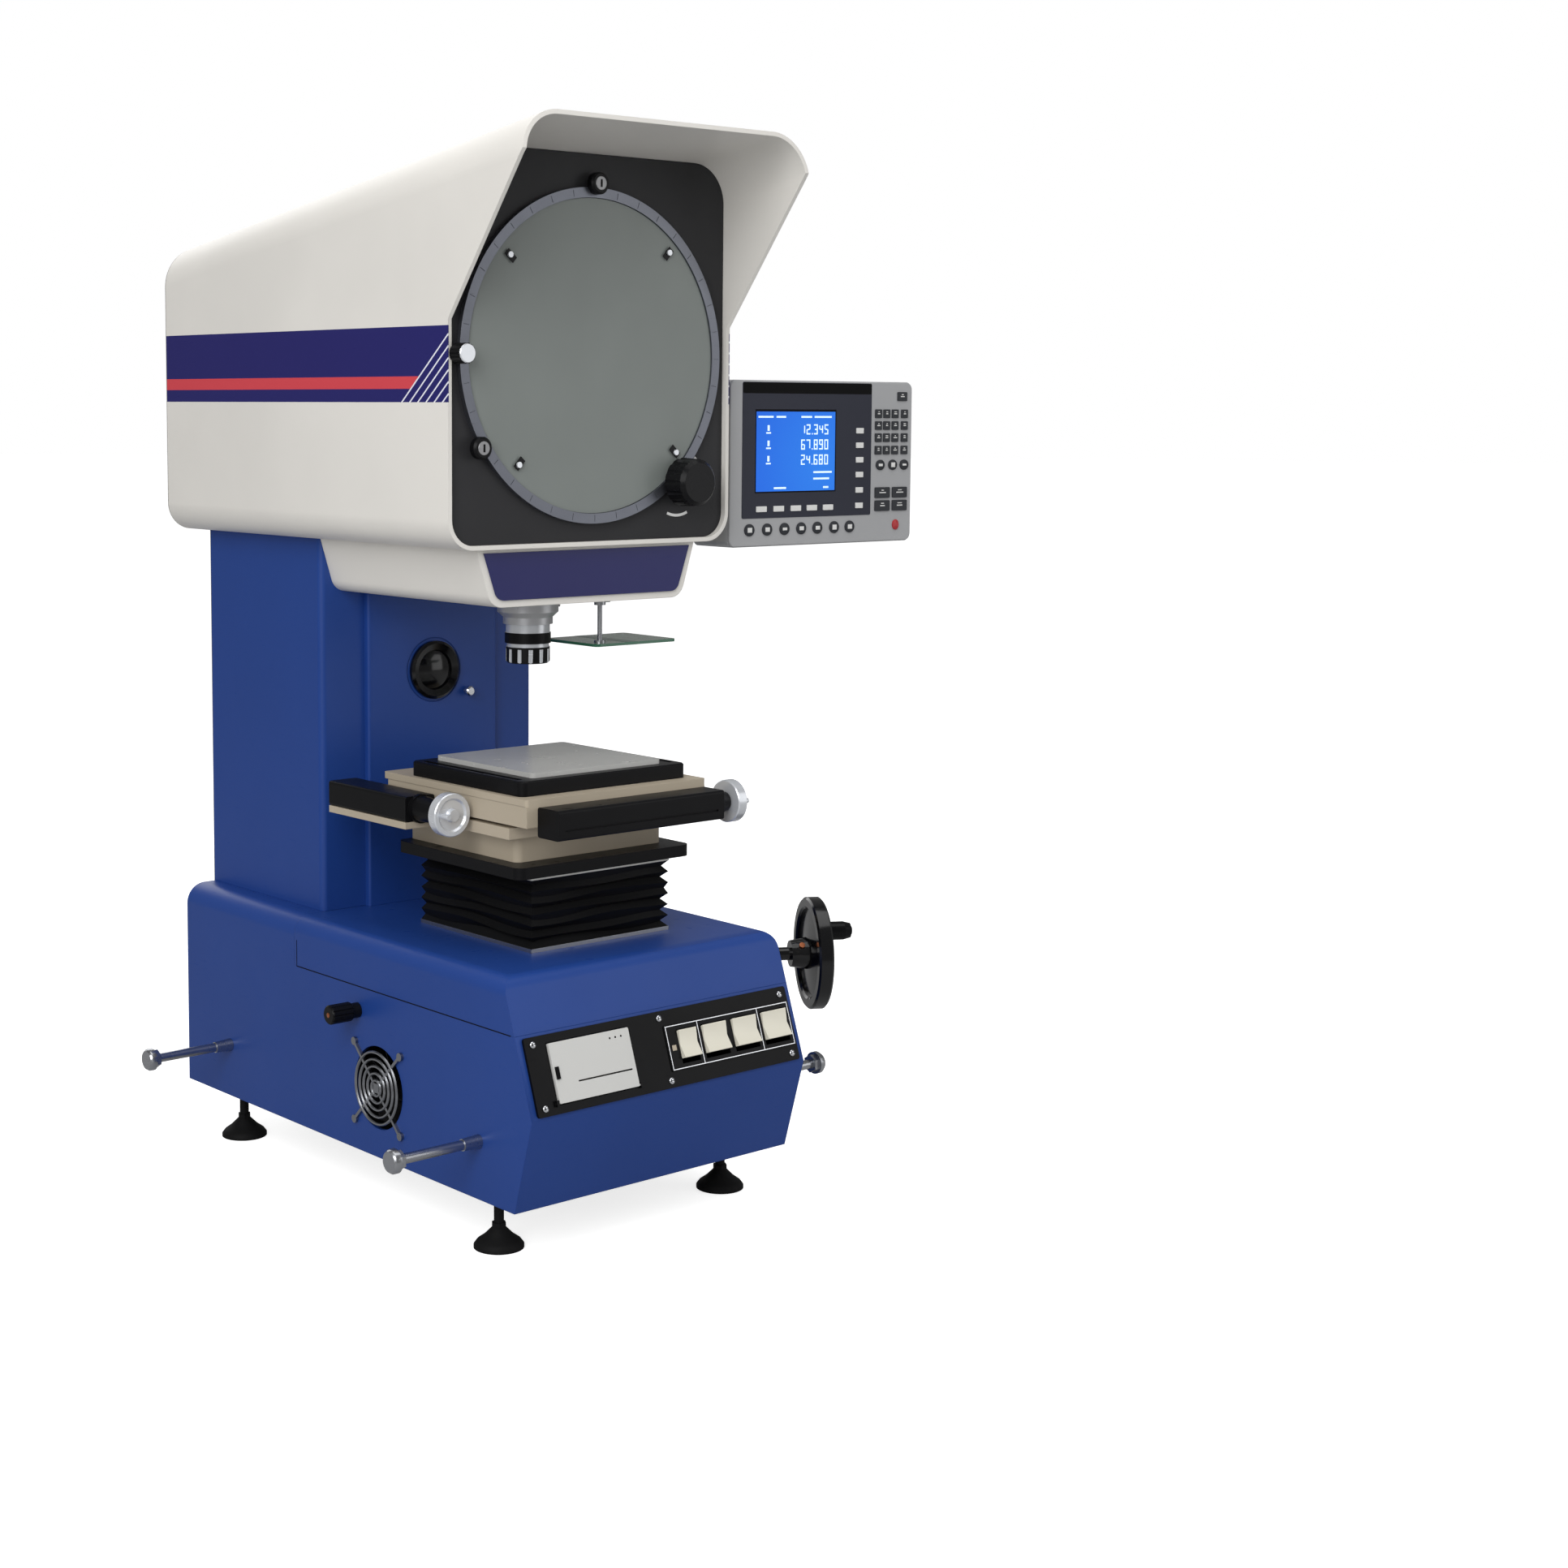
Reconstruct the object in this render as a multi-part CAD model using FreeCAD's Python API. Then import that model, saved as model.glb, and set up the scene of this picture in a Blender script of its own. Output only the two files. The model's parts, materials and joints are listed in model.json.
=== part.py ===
import FreeCAD, Part
import os
from math import atan2, cos, degrees, hypot, pi, radians, sin, sqrt

# Profile projector, millimetres. X = 0 is the machine's middle plane, the screen looks along -Y,
# and Z = 0 is the bench that the feet stand on. The finished pieces are moved at the end, so that
# the origin lies under the middle of the whole machine.

# Fits
RUN = 0.05            # radial room of a running shaft
GAP = 0.3             # room between pieces that pass each other
SEAT = 0.0            # flat faces that rest on each other

# Base
BASE_BOTTOM = 56.0
BASE_REAR = 163.0
BASE_TOP = 281.0
BASE_WALL = 4.0
BASE_EDGE_R = 22.0
NOSE_LINE_Z = 151.0   # height of the foremost line of the slanted front
NOSE_LINE_Y = -477.0
FRONT_TOP_Y = -450.0
FRONT_BOTTOM_Y = -450.0
DECK_SEAM = 228.0
DECK_LIP_Y = -438.0
DECK_LIP_Z = 262.0
DECK_WALL = 5.0
FLOOR_PLATE = 6.0

# Column
COL_HALF = 141.0
COL_FRONT = -63.0
COL_REAR = 163.0
COL_WALL = 5.0
COL_EDGE_R = 7.0
PANEL_HALF = 86.0
PANEL_PROUD = 8.0
REAR_COVER = 10.0
REAR_COVER_CHAMFER = 4.0
COVER_WALL = 3.0
REAR_COVER_BOTTOM = 64.0
VENT_SLOT = (150.0, 6.0, 12.0)   # length, height, pitch
VENT_ROWS = 6

# Head
HEAD_MARGIN = 14.0         # from the screen ring to the head's side
HEAD_BOTTOM = 682.5
HEAD_REAR = 187.0
ROOF_FALL = 96.0           # from the hood's top to the head's rear
HOOD_TOP_Y = -460.0
HOOD_TOP_Z = 1093.0
HOOD_TIP_Y = -466.0
HOOD_TIP_Z = 1055.0
HOOD_ROOT_Z = 904.0
HEAD_FRONT = -350.0
HEAD_WALL = 4.5
HEAD_TOP_R = 45.0
MIRROR_LOW_SIZE = (75.0, 150.0)       # half width and length
MIRROR_BACK_SIZE = (110.0, 200.0)
MIRROR_GLASS = 6.0
SHELF_THICK = 3.0
SHELF_RIM = 8.0
SHELF_SLOT = 30.0
HEAD_BOTTOM_R = 30.0
HEAD_COVER = 10.0
HEAD_COVER_CHAMFER = 9.0
BEZEL_FACE = -344.0
BEZEL_PLATE = 4.0

# Nose under the head
NOSE_STEP = 0.4            # from the column's side to the nose's
NOSE_TAPER = 17.6
NOSE_BOTTOM = 625.0
NOSE_FRONT = -341.0
NOSE_WALL = 4.0
NOSE_EDGE_R = 18.0
NOSE_PLATE = 2.0
NOSE_PLATE_MARGIN = 7.0

# Optics
AXIS_Y = -240.0
SCREEN_Z = 871.4
RING_R = 166.5
RING_THICK = 5.7
GLASS_R = 156.0
GLASS_THICK = 5.0
GLASS_LEDGE = 6.0
RING_FLANGE = 8.5          # the ring's lip over its opening
RING_BODY_LENGTH = 14.0
CLIP_RADIUS = 143.5
CLIP_ANGLES = (48.0, 138.0, 228.0, 318.0)
KEEPER_OUT = 3.5           # from the ring's edge to the middles of its keepers
KEEPER_PIN_R = 2.5
ROLLER_R = 11.0
ROLLER_THICK = 8.0
DRIVE_KNOB_R = 25.0
DRIVE_KNOB_LENGTH = 28.0
DRIVE_KNOB_ANGLE = -48.0
LOCK_KNOB_R = 10.0
LOCK_KNOB_LENGTH = 18.0
LOCK_KNOB_ANGLE = 180.0
ROLLER_ANGLES = (("ring_roller_top", 90.0), ("ring_roller_left", 212.0))
FLANGE_R = 32.0
FLANGE_THICK = 28.0
LENS_R = 24.0
LENS_LENGTH = 41.0
LENS_GLASS_R = 17.0
BEAM_HALF = 50.0      # half width of the light's way through the stage

# Stage lift
BELLOWS_X = 180.0
BELLOWS_DEPTH = 190.0
BELLOWS_MID_Y = -268.0
BELLOWS_FOLDS = 7
BELLOWS_FOLD_DEPTH = 9.0
BELLOWS_WALL = 3.0
TRIM = 4.0
LIFT_Z = 358.0
LIFT_PLATE = 12.0
LIFT_HALF = 112.5
LIFT_FRONT = -372.0
LIFT_REAR = -162.0
POST_R = 9.0
POST_PLACES = ((-60.0, -205.0), (60.0, -205.0), (-60.0, -330.0))
POST_TOP = 330.0
SLEEVE_R = 14.0
SLEEVE_LENGTH = 105.0
SCREW_R = 6.0
SCREW_TOP = 354.0
NUT_R = 13.0
NUT_BOTTOM = 300.0

# Focus drive
WHEEL_MID = (250.0, -415.0, 243.0)
WHEEL_TURN = 30.0     # how far its shaft is turned towards the front
WHEEL_R = 59.5
WHEEL_RIM = 8.0      # half the rim's width
WHEEL_RIM_DEPTH = 12.0
WHEEL_EDGE = 2.0
WHEEL_HUB_R = 17.0
WHEEL_HUB_LENGTH = 26.0
WHEEL_WEB = 7.0
SHAFT_R = 7.0
SCREW_DISTANCE = 219.0   # from the wheel's middle to the lead screw, along the shaft
GEAR_R = 14.0
GEAR_TEETH = 20
GEAR_FACE = 5.0
GEAR_TIP = 1.1
GEAR_ROOT = 1.4
GEAR_BACKLASH = 0.3
BEARING_R = 21.0
BEARING_LENGTH = 30.0
BEARING_INSIDE = 26.0
BEARING_FLANGE = 17.0
GRIP_R = 10.0
GRIP_LENGTH = 42.0
GRIP_RADIUS = 42.0
GRIP_START = 8.0

# Stage
SADDLE_LEFT = -114.0
SADDLE_RIGHT = 118.0
SADDLE_FRONT = -358.0
SADDLE_REAR = -150.0
RISER_HALF = 95.0
RISER_TOP = 397.0
SADDLE_TOP = 408.5
CARRIAGE_FRONT = -386.0
CARRIAGE_REAR = -140.0
CARRIAGE_TOP = 440.0
CARRIAGE_LID = 7.0
CARRIAGE_SIDE = 114.0
TABLE_HALF_X = 107.5
TABLE_FRONT = -370.0
TABLE_REAR = -180.0
TABLE_THICK = 15.0
TABLE_CORNER_R = 8.0
STAGE_GLASS = 5.0
STAGE_GLASS_HALF = 82.0
FEED_BODY = (36.0, 140.0, 26.0)      # width, length and height of the side feed unit
FEED_X = -141.0
FEED_REAR = -105.0
FEED_Z = 404.0
FEED_CONE_LENGTH = 44.0
FEED_KNOB_R = 22.0
FEED_KNOB_THICK = 12.0
FRONT_FEED = (-100.0, 115.0, 34.0, 30.0)   # left end, right end, depth and height
FRONT_FEED_Z = 402.0
FRONT_CONE_LENGTH = 16.0

# Half mirror under the nose
HALF_MIRROR_ROD = (56.0, -290.0)
HALF_MIRROR_ROD_R = 2.5
HALF_MIRROR_Z = 574.0
HALF_MIRROR_SIZE = (110.0, 88.0, 3.0)

# Control panel on the slanted front
PANEL_HEIGHT = 76.0
PANEL_THICK = 3.0
PANEL_SIDE = 7.0                     # blue left beside the panel's ends
PRINTER_MARGIN = 25.0                # from the panel's left end to the printer
PRINTER_WIDTH = 101.0
PRINTER_HEIGHT = 60.0
PRINTER_DEPTH = 55.0
PRINTER_TO_SWITCHES = 44.0
DOOR_ROOM = 1.0
DOOR_AXIS_UP = 2.0                   # hinge line above the printer opening's lower edge
DOOR_PIN_R = 1.0
DOOR_PIN_REACH = 2.6
EAR_THICK = 3.0
EAR_HALF = 3.0
SWITCH_ENTRY = 15.0                  # from the switch frame's left end to the first rocker
ROCKER_WIDTHS = (24.0, 32.0, 33.0, 34.0)
ROCKER_GAP = 8.0
SWITCH_MARGIN = 6.0                  # from the last rocker to the frame's right end
SWITCH_TO_END = 2.0
SWITCH_FRAME_HEIGHT = 46.0
ROCKER_HEIGHT = 34.0
ROCKER_TILT = 7.0
ROCKER_PIN_R = 2.0
SWITCH_DEPTH = 28.0

# Fan
FAN_Y = -221.0
FAN_Z = 129.0
FAN_SIZE = 92.0
FAN_DEPTH = 25.0
FAN_OPENING_R = 43.0
FAN_HOLE_HALF = 41.0
FAN_BLADES = 7
FAN_HUB_R = 16.0
FAN_TIP_R = 41.0
GUARD_RINGS = 5
GUARD_WIRE = 1.6
GUARD_LAP = 1.2       # how far the rings lie outside the arms

# Knobs, rods and feet
DIMMER_Y = -184.0
DIMMER_Z = 203.0
DIMMER_R = 10.0
DIMMER_LENGTH = 36.0
ROD_Z = 114.0
ROD_PLACES = (-393.0, 71.0)
ROD_R = 5.0
ROD_OUT = 105.0
ROD_HEAD_R = 12.0
ROD_SLEEVE_R = 7.0
ROD_SLEEVE = 20.0
FOOT_INSET = 31.0     # from the base's side to a foot's middle
FOOT_Y = (-384.0, 95.0)
FOOT_PAD_R = 25.0
FOOT_PAD_H = 20.0
FOOT_STUD_R = 5.0
FOOT_NUT = 8.0
LIGHT_Z = 534.0
LIGHT_R = 32.0
LIGHT_PROUD = 6.0
LIGHT_BARREL = 90.0
LIGHT_LAMP = 60.0
LIGHT_BACK_HALF = 46.0
LAMP_HALF = 42.0
LAMP_HIGH = 110.0
LAMP_Y = (-110.0, 20.0)
LAMP_FINS = 9
LAMP_FIN_STEP = 13.0
MIRROR_BOX_HALF = 36.0
MIRROR_BOX_LOW = 42.0        # height of the box under its slanted mirror, at the front
LIGHT_PIPE_R = 22.0
CONDENSER_R = 24.0
CORE_SIZE = (80.0, 100.0, 80.0)     # transformer: width, depth and top above the floor plate
CORE_MID = (90.0, 80.0)
CLAMP_X = 43.0
CLAMP_Z = 508.0

# Readout unit on its arm
READ_LEFT = 198.0
READ_RIGHT = 476.0
READ_BOTTOM = 673.0
READ_TOP = 851.0
READ_FACE = -330.0
READ_DEPTH = 60.0
READ_WINDOW_LEFT = 22.0
READ_WINDOW_RIGHT = 72.0
READ_WINDOW_LOW = 40.0
READ_WINDOW_TOP = 9.0
READ_POCKET = (64.0, 74.0, 34.0)     # width, height and depth of the pocket for the joint
READ_AXIS_Y = -284.0
ARM_Y = -150.0
ARM_BAR = 16.0
ARM_LEG = 12.0
KNUCKLE = (15.0, 4.0, 12.0)          # half opening, wall and depth
SWIVEL_PIN_R = 4.0
KEY = 2.0             # how far the keys stand out

V = FreeCAD.Vector
X, Y, Z = V(1, 0, 0), V(0, 1, 0), V(0, 0, 1)


# Shape helpers
def box(x0, x1, y0, y1, z0, z1):
    return Part.makeBox(x1 - x0, y1 - y0, z1 - z0, V(x0, y0, z0))


def cyl(radius, length, start, axis=Z):
    return Part.makeCylinder(radius, length, V(*start), axis)


def cone(radius_start, radius_end, length, start, axis=Z):
    return Part.makeCone(radius_start, radius_end, length, V(*start), axis)


def tube(outer, inner, length, start, axis=Z):
    return cyl(outer, length, start, axis).cut(cyl(inner, length, start, axis))


def prism(points, direction):
    wire = Part.makePolygon([V(*p) for p in points] + [V(*points[0])])
    return Part.Face(wire).extrude(direction)


def across(outline, half):
    """Side outline of (y, z) points, carried from -half to +half in X."""
    return prism([(-half, y, z) for y, z in outline], V(2 * half, 0, 0))


def turned(profile, start, axis=Z):
    """Outline of (radius, height) points turned about an axis."""
    wire = Part.makePolygon([V(r, 0, h) for r, h in profile] + [V(profile[0][0], 0, profile[0][1])])
    solid = Part.Face(wire).revolve(V(0, 0, 0), Z, 360)
    solid.Placement = FreeCAD.Placement(V(*start), FreeCAD.Rotation(Z, axis))
    return solid


def hexagon(across_flats, height, start, axis=Z):
    r = across_flats / 2 / cos(pi / 6)
    points = [(r * cos(k * pi / 3), r * sin(k * pi / 3), 0) for k in range(6)]
    solid = prism(points, V(0, 0, height))
    solid.Placement = FreeCAD.Placement(V(*start), FreeCAD.Rotation(Z, axis))
    return solid


def edges_where(shape, test):
    return [e for e in shape.Edges if test(e)]


def along(edge, direction):
    """Whether a straight edge runs along a direction."""
    a, b = edge.firstVertex().Point, edge.lastVertex().Point
    run = b - a
    return run.Length > 1e-6 and run.cross(direction).Length < 1e-6 * run.Length


def rounded(shape, radius, test):
    return shape.makeFillet(radius, edges_where(shape, test))


def round_box(x0, x1, y0, y1, z0, z1, radius, axis=Z):
    solid = box(x0, x1, y0, y1, z0, z1)
    return rounded(solid, radius, lambda e: along(e, axis))


# Sizes that follow from others
SWITCH_FRAME_WIDTH = (SWITCH_ENTRY + sum(ROCKER_WIDTHS) + ROCKER_GAP * (len(ROCKER_WIDTHS) - 1)
                      + SWITCH_MARGIN)
PANEL_WIDTH = PRINTER_MARGIN + PRINTER_WIDTH + PRINTER_TO_SWITCHES + SWITCH_FRAME_WIDTH + SWITCH_TO_END
PRINTER_MID = -PANEL_WIDTH / 2 + PRINTER_MARGIN + PRINTER_WIDTH / 2
SWITCH_RIGHT = PANEL_WIDTH / 2 - SWITCH_TO_END
SWITCH_LEFT = SWITCH_RIGHT - SWITCH_FRAME_WIDTH
BASE_HALF = PANEL_WIDTH / 2 + PANEL_SIDE
FOOT_X = BASE_HALF - FOOT_INSET
REAR_COVER_HALF = COL_HALF - COVER_WALL
NOSE_TOP_HALF = COL_HALF - NOSE_STEP
NOSE_LOW_HALF = NOSE_TOP_HALF - NOSE_TAPER
HEAD_HALF = RING_R + HEAD_MARGIN
HEAD_REAR_TOP = HOOD_TOP_Z - ROOF_FALL
RING_BODY_R = RING_R - RING_FLANGE
KEEPER_RADIUS = RING_R + KEEPER_OUT


def rocker_places():
    """Middle and width of each rocker, along the panel."""
    places, left = [], SWITCH_LEFT + SWITCH_ENTRY
    for width in ROCKER_WIDTHS:
        places.append((left + width / 2, width))
        left += width + ROCKER_GAP
    return places


DIMMER_STEM_R = 3.0
CLAMP_STEM_R = 2.0
LIGHT_BARREL_R = LIGHT_R - 6
INLET_X = -60.0
INLET_Z = 108.0
INLET_HALF = 14.0
INLET_HIGH = 24.0
VENT_LOW = 330.0
VENT_HIGH = 570.0
DRIVE_PIN_R = 3.0
MIRROR_LOW_Z = 760.0
MIRROR_LOW_TIP = 180.0 + 35.2
MIRROR_BACK_Y = 118.0
MIRROR_BACK_TIP = 99.8
WHEEL_DIR = V(cos(radians(WHEEL_TURN)), -sin(radians(WHEEL_TURN)), 0)
SHAFT_DIR = WHEEL_DIR.negative()
BEARING_NEAR = (WHEEL_MID[0] - BASE_HALF) / WHEEL_DIR.x   # to the deck's side, along the shaft


def along_shaft(distance, out=0.0):
    """A place on the focus shaft, measured inwards from the wheel's middle."""
    place = V(*WHEEL_MID) + SHAFT_DIR * distance
    return (place.x, place.y, place.z + out)


SCREW_X, SCREW_Y, SCREW_Z = along_shaft(SCREW_DISTANCE)
FLUTES = 12
CONDENSER_TOP = 306.0
ROCKER_DROP = 9.0      # depth of a rocker's pin below the panel
GLASS_BACK = 1.3       # how far the ring's ledge stands behind the panel's face
RING_MARKS = 36
CLIP_ROOM = 2.6
DRIVE_FLUTES = 14
SCREW_FOOT = 205.0
KNOB_STEM_R = 4.0
Y_REACH = 25.0
TABLE_WINDOW_X = 70.0
TABLE_WINDOW_Y = 68.0
GRIP_STEM_R = 4.5
CRANK_TURN = 80.0
READ_MID = (READ_LEFT + READ_RIGHT) / 2
READ_AXIS_Z = (READ_BOTTOM + READ_TOP) / 2
READ_CORNER_R = 8.0


# Base: the sheet housing, its deck cover and its floor
SLOPE_UP = V(0, FRONT_TOP_Y - NOSE_LINE_Y, DECK_SEAM - NOSE_LINE_Z).normalize()
SLOPE_OUT = V(0, -SLOPE_UP.z, SLOPE_UP.y)
SLOPE_MID = V(0, (FRONT_TOP_Y + NOSE_LINE_Y) / 2, (DECK_SEAM + NOSE_LINE_Z) / 2)


def on_slope(shape):
    """Carry a shape drawn with Z outwards and Y up the slope to the middle of the slanted front."""
    placed = shape.copy()
    turn = FreeCAD.Rotation(X, SLOPE_UP, SLOPE_OUT, "XYZ")
    placed.Placement = FreeCAD.Placement(SLOPE_MID, turn).multiply(placed.Placement)
    return placed


def base_outline(inset=0.0):
    return [(BASE_REAR - inset, BASE_BOTTOM), (BASE_REAR - inset, BASE_TOP - inset),
            (COL_FRONT - inset, BASE_TOP - inset), (COL_FRONT - inset, DECK_SEAM),
            (FRONT_TOP_Y + inset, DECK_SEAM), (NOSE_LINE_Y + inset, NOSE_LINE_Z),
            (FRONT_BOTTOM_Y + inset, BASE_BOTTOM)]


def base_housing():
    shell = across(base_outline(), BASE_HALF)
    top_sides = lambda e: (along(e, Y) and e.BoundBox.ZMin > BASE_TOP - 1
                           and abs(e.BoundBox.XMin) > BASE_HALF - 1)
    shell = rounded(shell, BASE_EDGE_R, top_sides)
    inner = across(base_outline(BASE_WALL), BASE_HALF - BASE_WALL)
    inner = inner.cut(box(-BASE_HALF, BASE_HALF, COL_FRONT - BASE_WALL, COL_FRONT, DECK_SEAM, BASE_TOP))
    inner = rounded(inner, BASE_EDGE_R - BASE_WALL,
                    lambda e: along(e, Y) and e.BoundBox.ZMin > BASE_TOP - BASE_WALL - 1
                    and abs(e.BoundBox.XMin) > BASE_HALF - BASE_WALL - 1)
    shell = shell.cut(inner)
    ledge = BASE_WALL * 3
    shell = shell.cut(box(-BASE_HALF + ledge, BASE_HALF - ledge, FRONT_TOP_Y + ledge, COL_FRONT - ledge,
                          DECK_SEAM - BASE_WALL - 1, DECK_SEAM + 1))
    shell = shell.cut(box(-COL_HALF + COL_WALL * 2, COL_HALF - COL_WALL * 2, COL_FRONT + COL_WALL * 2,
                          COL_REAR - COL_WALL * 4, BASE_TOP - BASE_WALL - 1, BASE_TOP + 1))
    window = on_slope(box(-PANEL_WIDTH / 2 + 6, PANEL_WIDTH / 2 - 6, -PANEL_HEIGHT / 2 + 6,
                          PANEL_HEIGHT / 2 - 6, -BASE_WALL * 2, 2))
    shell = shell.cut(window)
    shell = shell.cut(cyl(FAN_OPENING_R, BASE_WALL + 2, (-BASE_HALF - 1, FAN_Y, FAN_Z), X))
    shell = shell.cut(cyl(DIMMER_STEM_R + GAP, BASE_WALL + 2, (-BASE_HALF - 1, DIMMER_Y, DIMMER_Z), X))
    inlet = box(INLET_X - INLET_HALF - GAP, INLET_X + INLET_HALF + GAP, BASE_REAR - BASE_WALL - 1,
                BASE_REAR + 1, INLET_Z - INLET_HIGH - GAP, INLET_Z + INLET_HIGH + GAP)
    return shell.cut(inlet).cut(bearing_hole())


def deck_outline(inset=0.0):
    return [(COL_FRONT - GAP - inset, DECK_SEAM), (FRONT_TOP_Y + inset, DECK_SEAM),
            (DECK_LIP_Y + inset, DECK_LIP_Z), (DECK_LIP_Y + 8 + inset, BASE_TOP - inset),
            (COL_FRONT - GAP - inset, BASE_TOP - inset)]


def base_deck():
    cover = across(deck_outline(), BASE_HALF)
    top_edges = lambda e: e.BoundBox.ZMin > BASE_TOP - 1 and e.BoundBox.YMin < COL_FRONT - 5
    cover = rounded(cover, BASE_EDGE_R - 4, top_edges)
    inner = across(deck_outline(DECK_WALL), BASE_HALF - DECK_WALL)
    cover = cover.cut(inner.cut(box(-BASE_HALF, BASE_HALF, FRONT_TOP_Y - BASE_EDGE_R, COL_FRONT,
                                    BASE_TOP - BASE_EDGE_R, BASE_TOP)))
    middle = (FRONT_TOP_Y + COL_FRONT) / 2
    under = [(y + (BASE_EDGE_R if y < middle else -BASE_EDGE_R), z) for y, z in deck_outline(DECK_WALL)]
    cover = cover.cut(across(under, BASE_HALF - BASE_EDGE_R))
    hole_x = BELLOWS_X / 2 - 2 * BELLOWS_FOLD_DEPTH + 4
    hole_y = BELLOWS_DEPTH / 2 - 2 * BELLOWS_FOLD_DEPTH + 4
    cover = cover.cut(box(-hole_x, hole_x, BELLOWS_MID_Y - hole_y, BELLOWS_MID_Y + hole_y,
                          DECK_SEAM, BASE_TOP + 1))
    return cover.cut(bearing_hole())


def bearing_hole():
    start = along_shaft(BEARING_NEAR - BEARING_LENGTH)
    return cyl(BEARING_R - 3 + GAP, BEARING_LENGTH * 2, start, SHAFT_DIR)


def base_floor_plate():
    room = BASE_WALL + GAP
    plate = box(-BASE_HALF + room, BASE_HALF - room, FRONT_BOTTOM_Y + room + 1, BASE_REAR - room,
                BASE_BOTTOM, BASE_BOTTOM + FLOOR_PLATE)
    for x in (-FOOT_X, FOOT_X):
        for y in FOOT_Y:
            plate = plate.cut(cyl(FOOT_STUD_R + RUN, FLOOR_PLATE + 2, (x, y, BASE_BOTTOM - 1)))
    for x, y in ((-60, -60), (0, -60), (60, -60), (-60, 0), (0, 0), (60, 0)):
        slot = round_box(x - 20, x + 20, y - 3, y + 3, BASE_BOTTOM - 1, BASE_BOTTOM + FLOOR_PLATE + 1, 2.9)
        plate = plate.cut(slot)
    return plate


# Column
def column_housing():
    z0, z1 = BASE_TOP, HEAD_BOTTOM
    shell = box(-COL_HALF, COL_HALF, COL_FRONT, COL_REAR, z0, z1)
    shell = rounded(shell, COL_EDGE_R, lambda e: along(e, Z) and e.BoundBox.YMax < COL_FRONT + 1)
    shell = shell.cut(box(-COL_HALF + COL_WALL, COL_HALF - COL_WALL, COL_FRONT + COL_WALL, COL_REAR + 1,
                          z0 - 1, z1 + 1))
    for z in (z0, z1 - COL_WALL):
        frame = box(-COL_HALF + COL_WALL, COL_HALF - COL_WALL, COL_FRONT + COL_WALL, COL_REAR - COL_WALL,
                    z, z + COL_WALL)
        frame = frame.cut(box(-COL_HALF + COL_WALL * 4, COL_HALF - COL_WALL * 4, COL_FRONT + COL_WALL * 4,
                              COL_REAR - COL_WALL * 4, z - 1, z + COL_WALL + 1))
        shell = shell.fuse(frame)
    return shell.removeSplitter().cut(cyl(LIGHT_BARREL_R + GAP, COL_WALL + 2, (0, COL_FRONT - 1, LIGHT_Z), Y))


def column_front_panel():
    panel = box(-PANEL_HALF, PANEL_HALF, COL_FRONT - PANEL_PROUD, COL_FRONT, BASE_TOP, NOSE_BOTTOM)
    panel = rounded(panel, 3.0, lambda e: along(e, Z) and e.BoundBox.YMax < COL_FRONT - 1)
    panel = panel.cut(box(-PANEL_HALF + 6, PANEL_HALF - 6, COL_FRONT - PANEL_PROUD + 3, COL_FRONT + 1,
                          BASE_TOP - 1, LIGHT_Z - LIGHT_R * 1.6))
    groove = tube(LIGHT_R + 3.5, LIGHT_R + 2.5, 2, (0, COL_FRONT - PANEL_PROUD - 1, LIGHT_Z), Y)
    panel = panel.cut(groove)
    barrel = cyl(LIGHT_BARREL_R + GAP, PANEL_PROUD + 2, (0, COL_FRONT - PANEL_PROUD - 1, LIGHT_Z), Y)
    panel = panel.cut(barrel)
    stem = cyl(CLAMP_STEM_R + RUN, PANEL_PROUD + 2, (CLAMP_X, COL_FRONT - PANEL_PROUD - 1, CLAMP_Z), Y)
    return panel.cut(stem)


def column_rear_cover():
    z0, z1 = REAR_COVER_BOTTOM, HEAD_BOTTOM - GAP
    cover = box(-REAR_COVER_HALF, REAR_COVER_HALF, COL_REAR, COL_REAR + REAR_COVER, z0, z1)
    upright = edges_where(cover, lambda e: along(e, Z) and e.BoundBox.YMin > COL_REAR + 1)
    cover = cover.makeChamfer(REAR_COVER_CHAMFER, upright)
    cover = cover.cut(box(-REAR_COVER_HALF + 5, REAR_COVER_HALF - 5, COL_REAR - 1, COL_REAR + REAR_COVER - 3,
                          z0 + 5, z1 - 5))
    length, high, pitch = VENT_SLOT
    for start in (VENT_LOW, VENT_HIGH):
        for row in range(VENT_ROWS):
            z = start + row * pitch
            slot = round_box(-length / 2, length / 2, COL_REAR, COL_REAR + REAR_COVER + 1,
                             z, z + high, high / 2 - 0.1, Y)
            cover = cover.cut(slot)
    return cover.cut(box(INLET_X - INLET_HALF - GAP, INLET_X + INLET_HALF + GAP, COL_REAR - 1,
                         COL_REAR + REAR_COVER + 1, INLET_Z - INLET_HIGH - GAP, INLET_Z + INLET_HIGH + GAP))


# Head: the hooded shell, its back, the nose and the black screen panel
HEAD_RISE = (HOOD_TOP_Z - HEAD_REAR_TOP) / (HEAD_REAR - HOOD_TOP_Y)


def head_top(y):
    return HEAD_REAR_TOP + (HEAD_REAR - y) * HEAD_RISE


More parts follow.
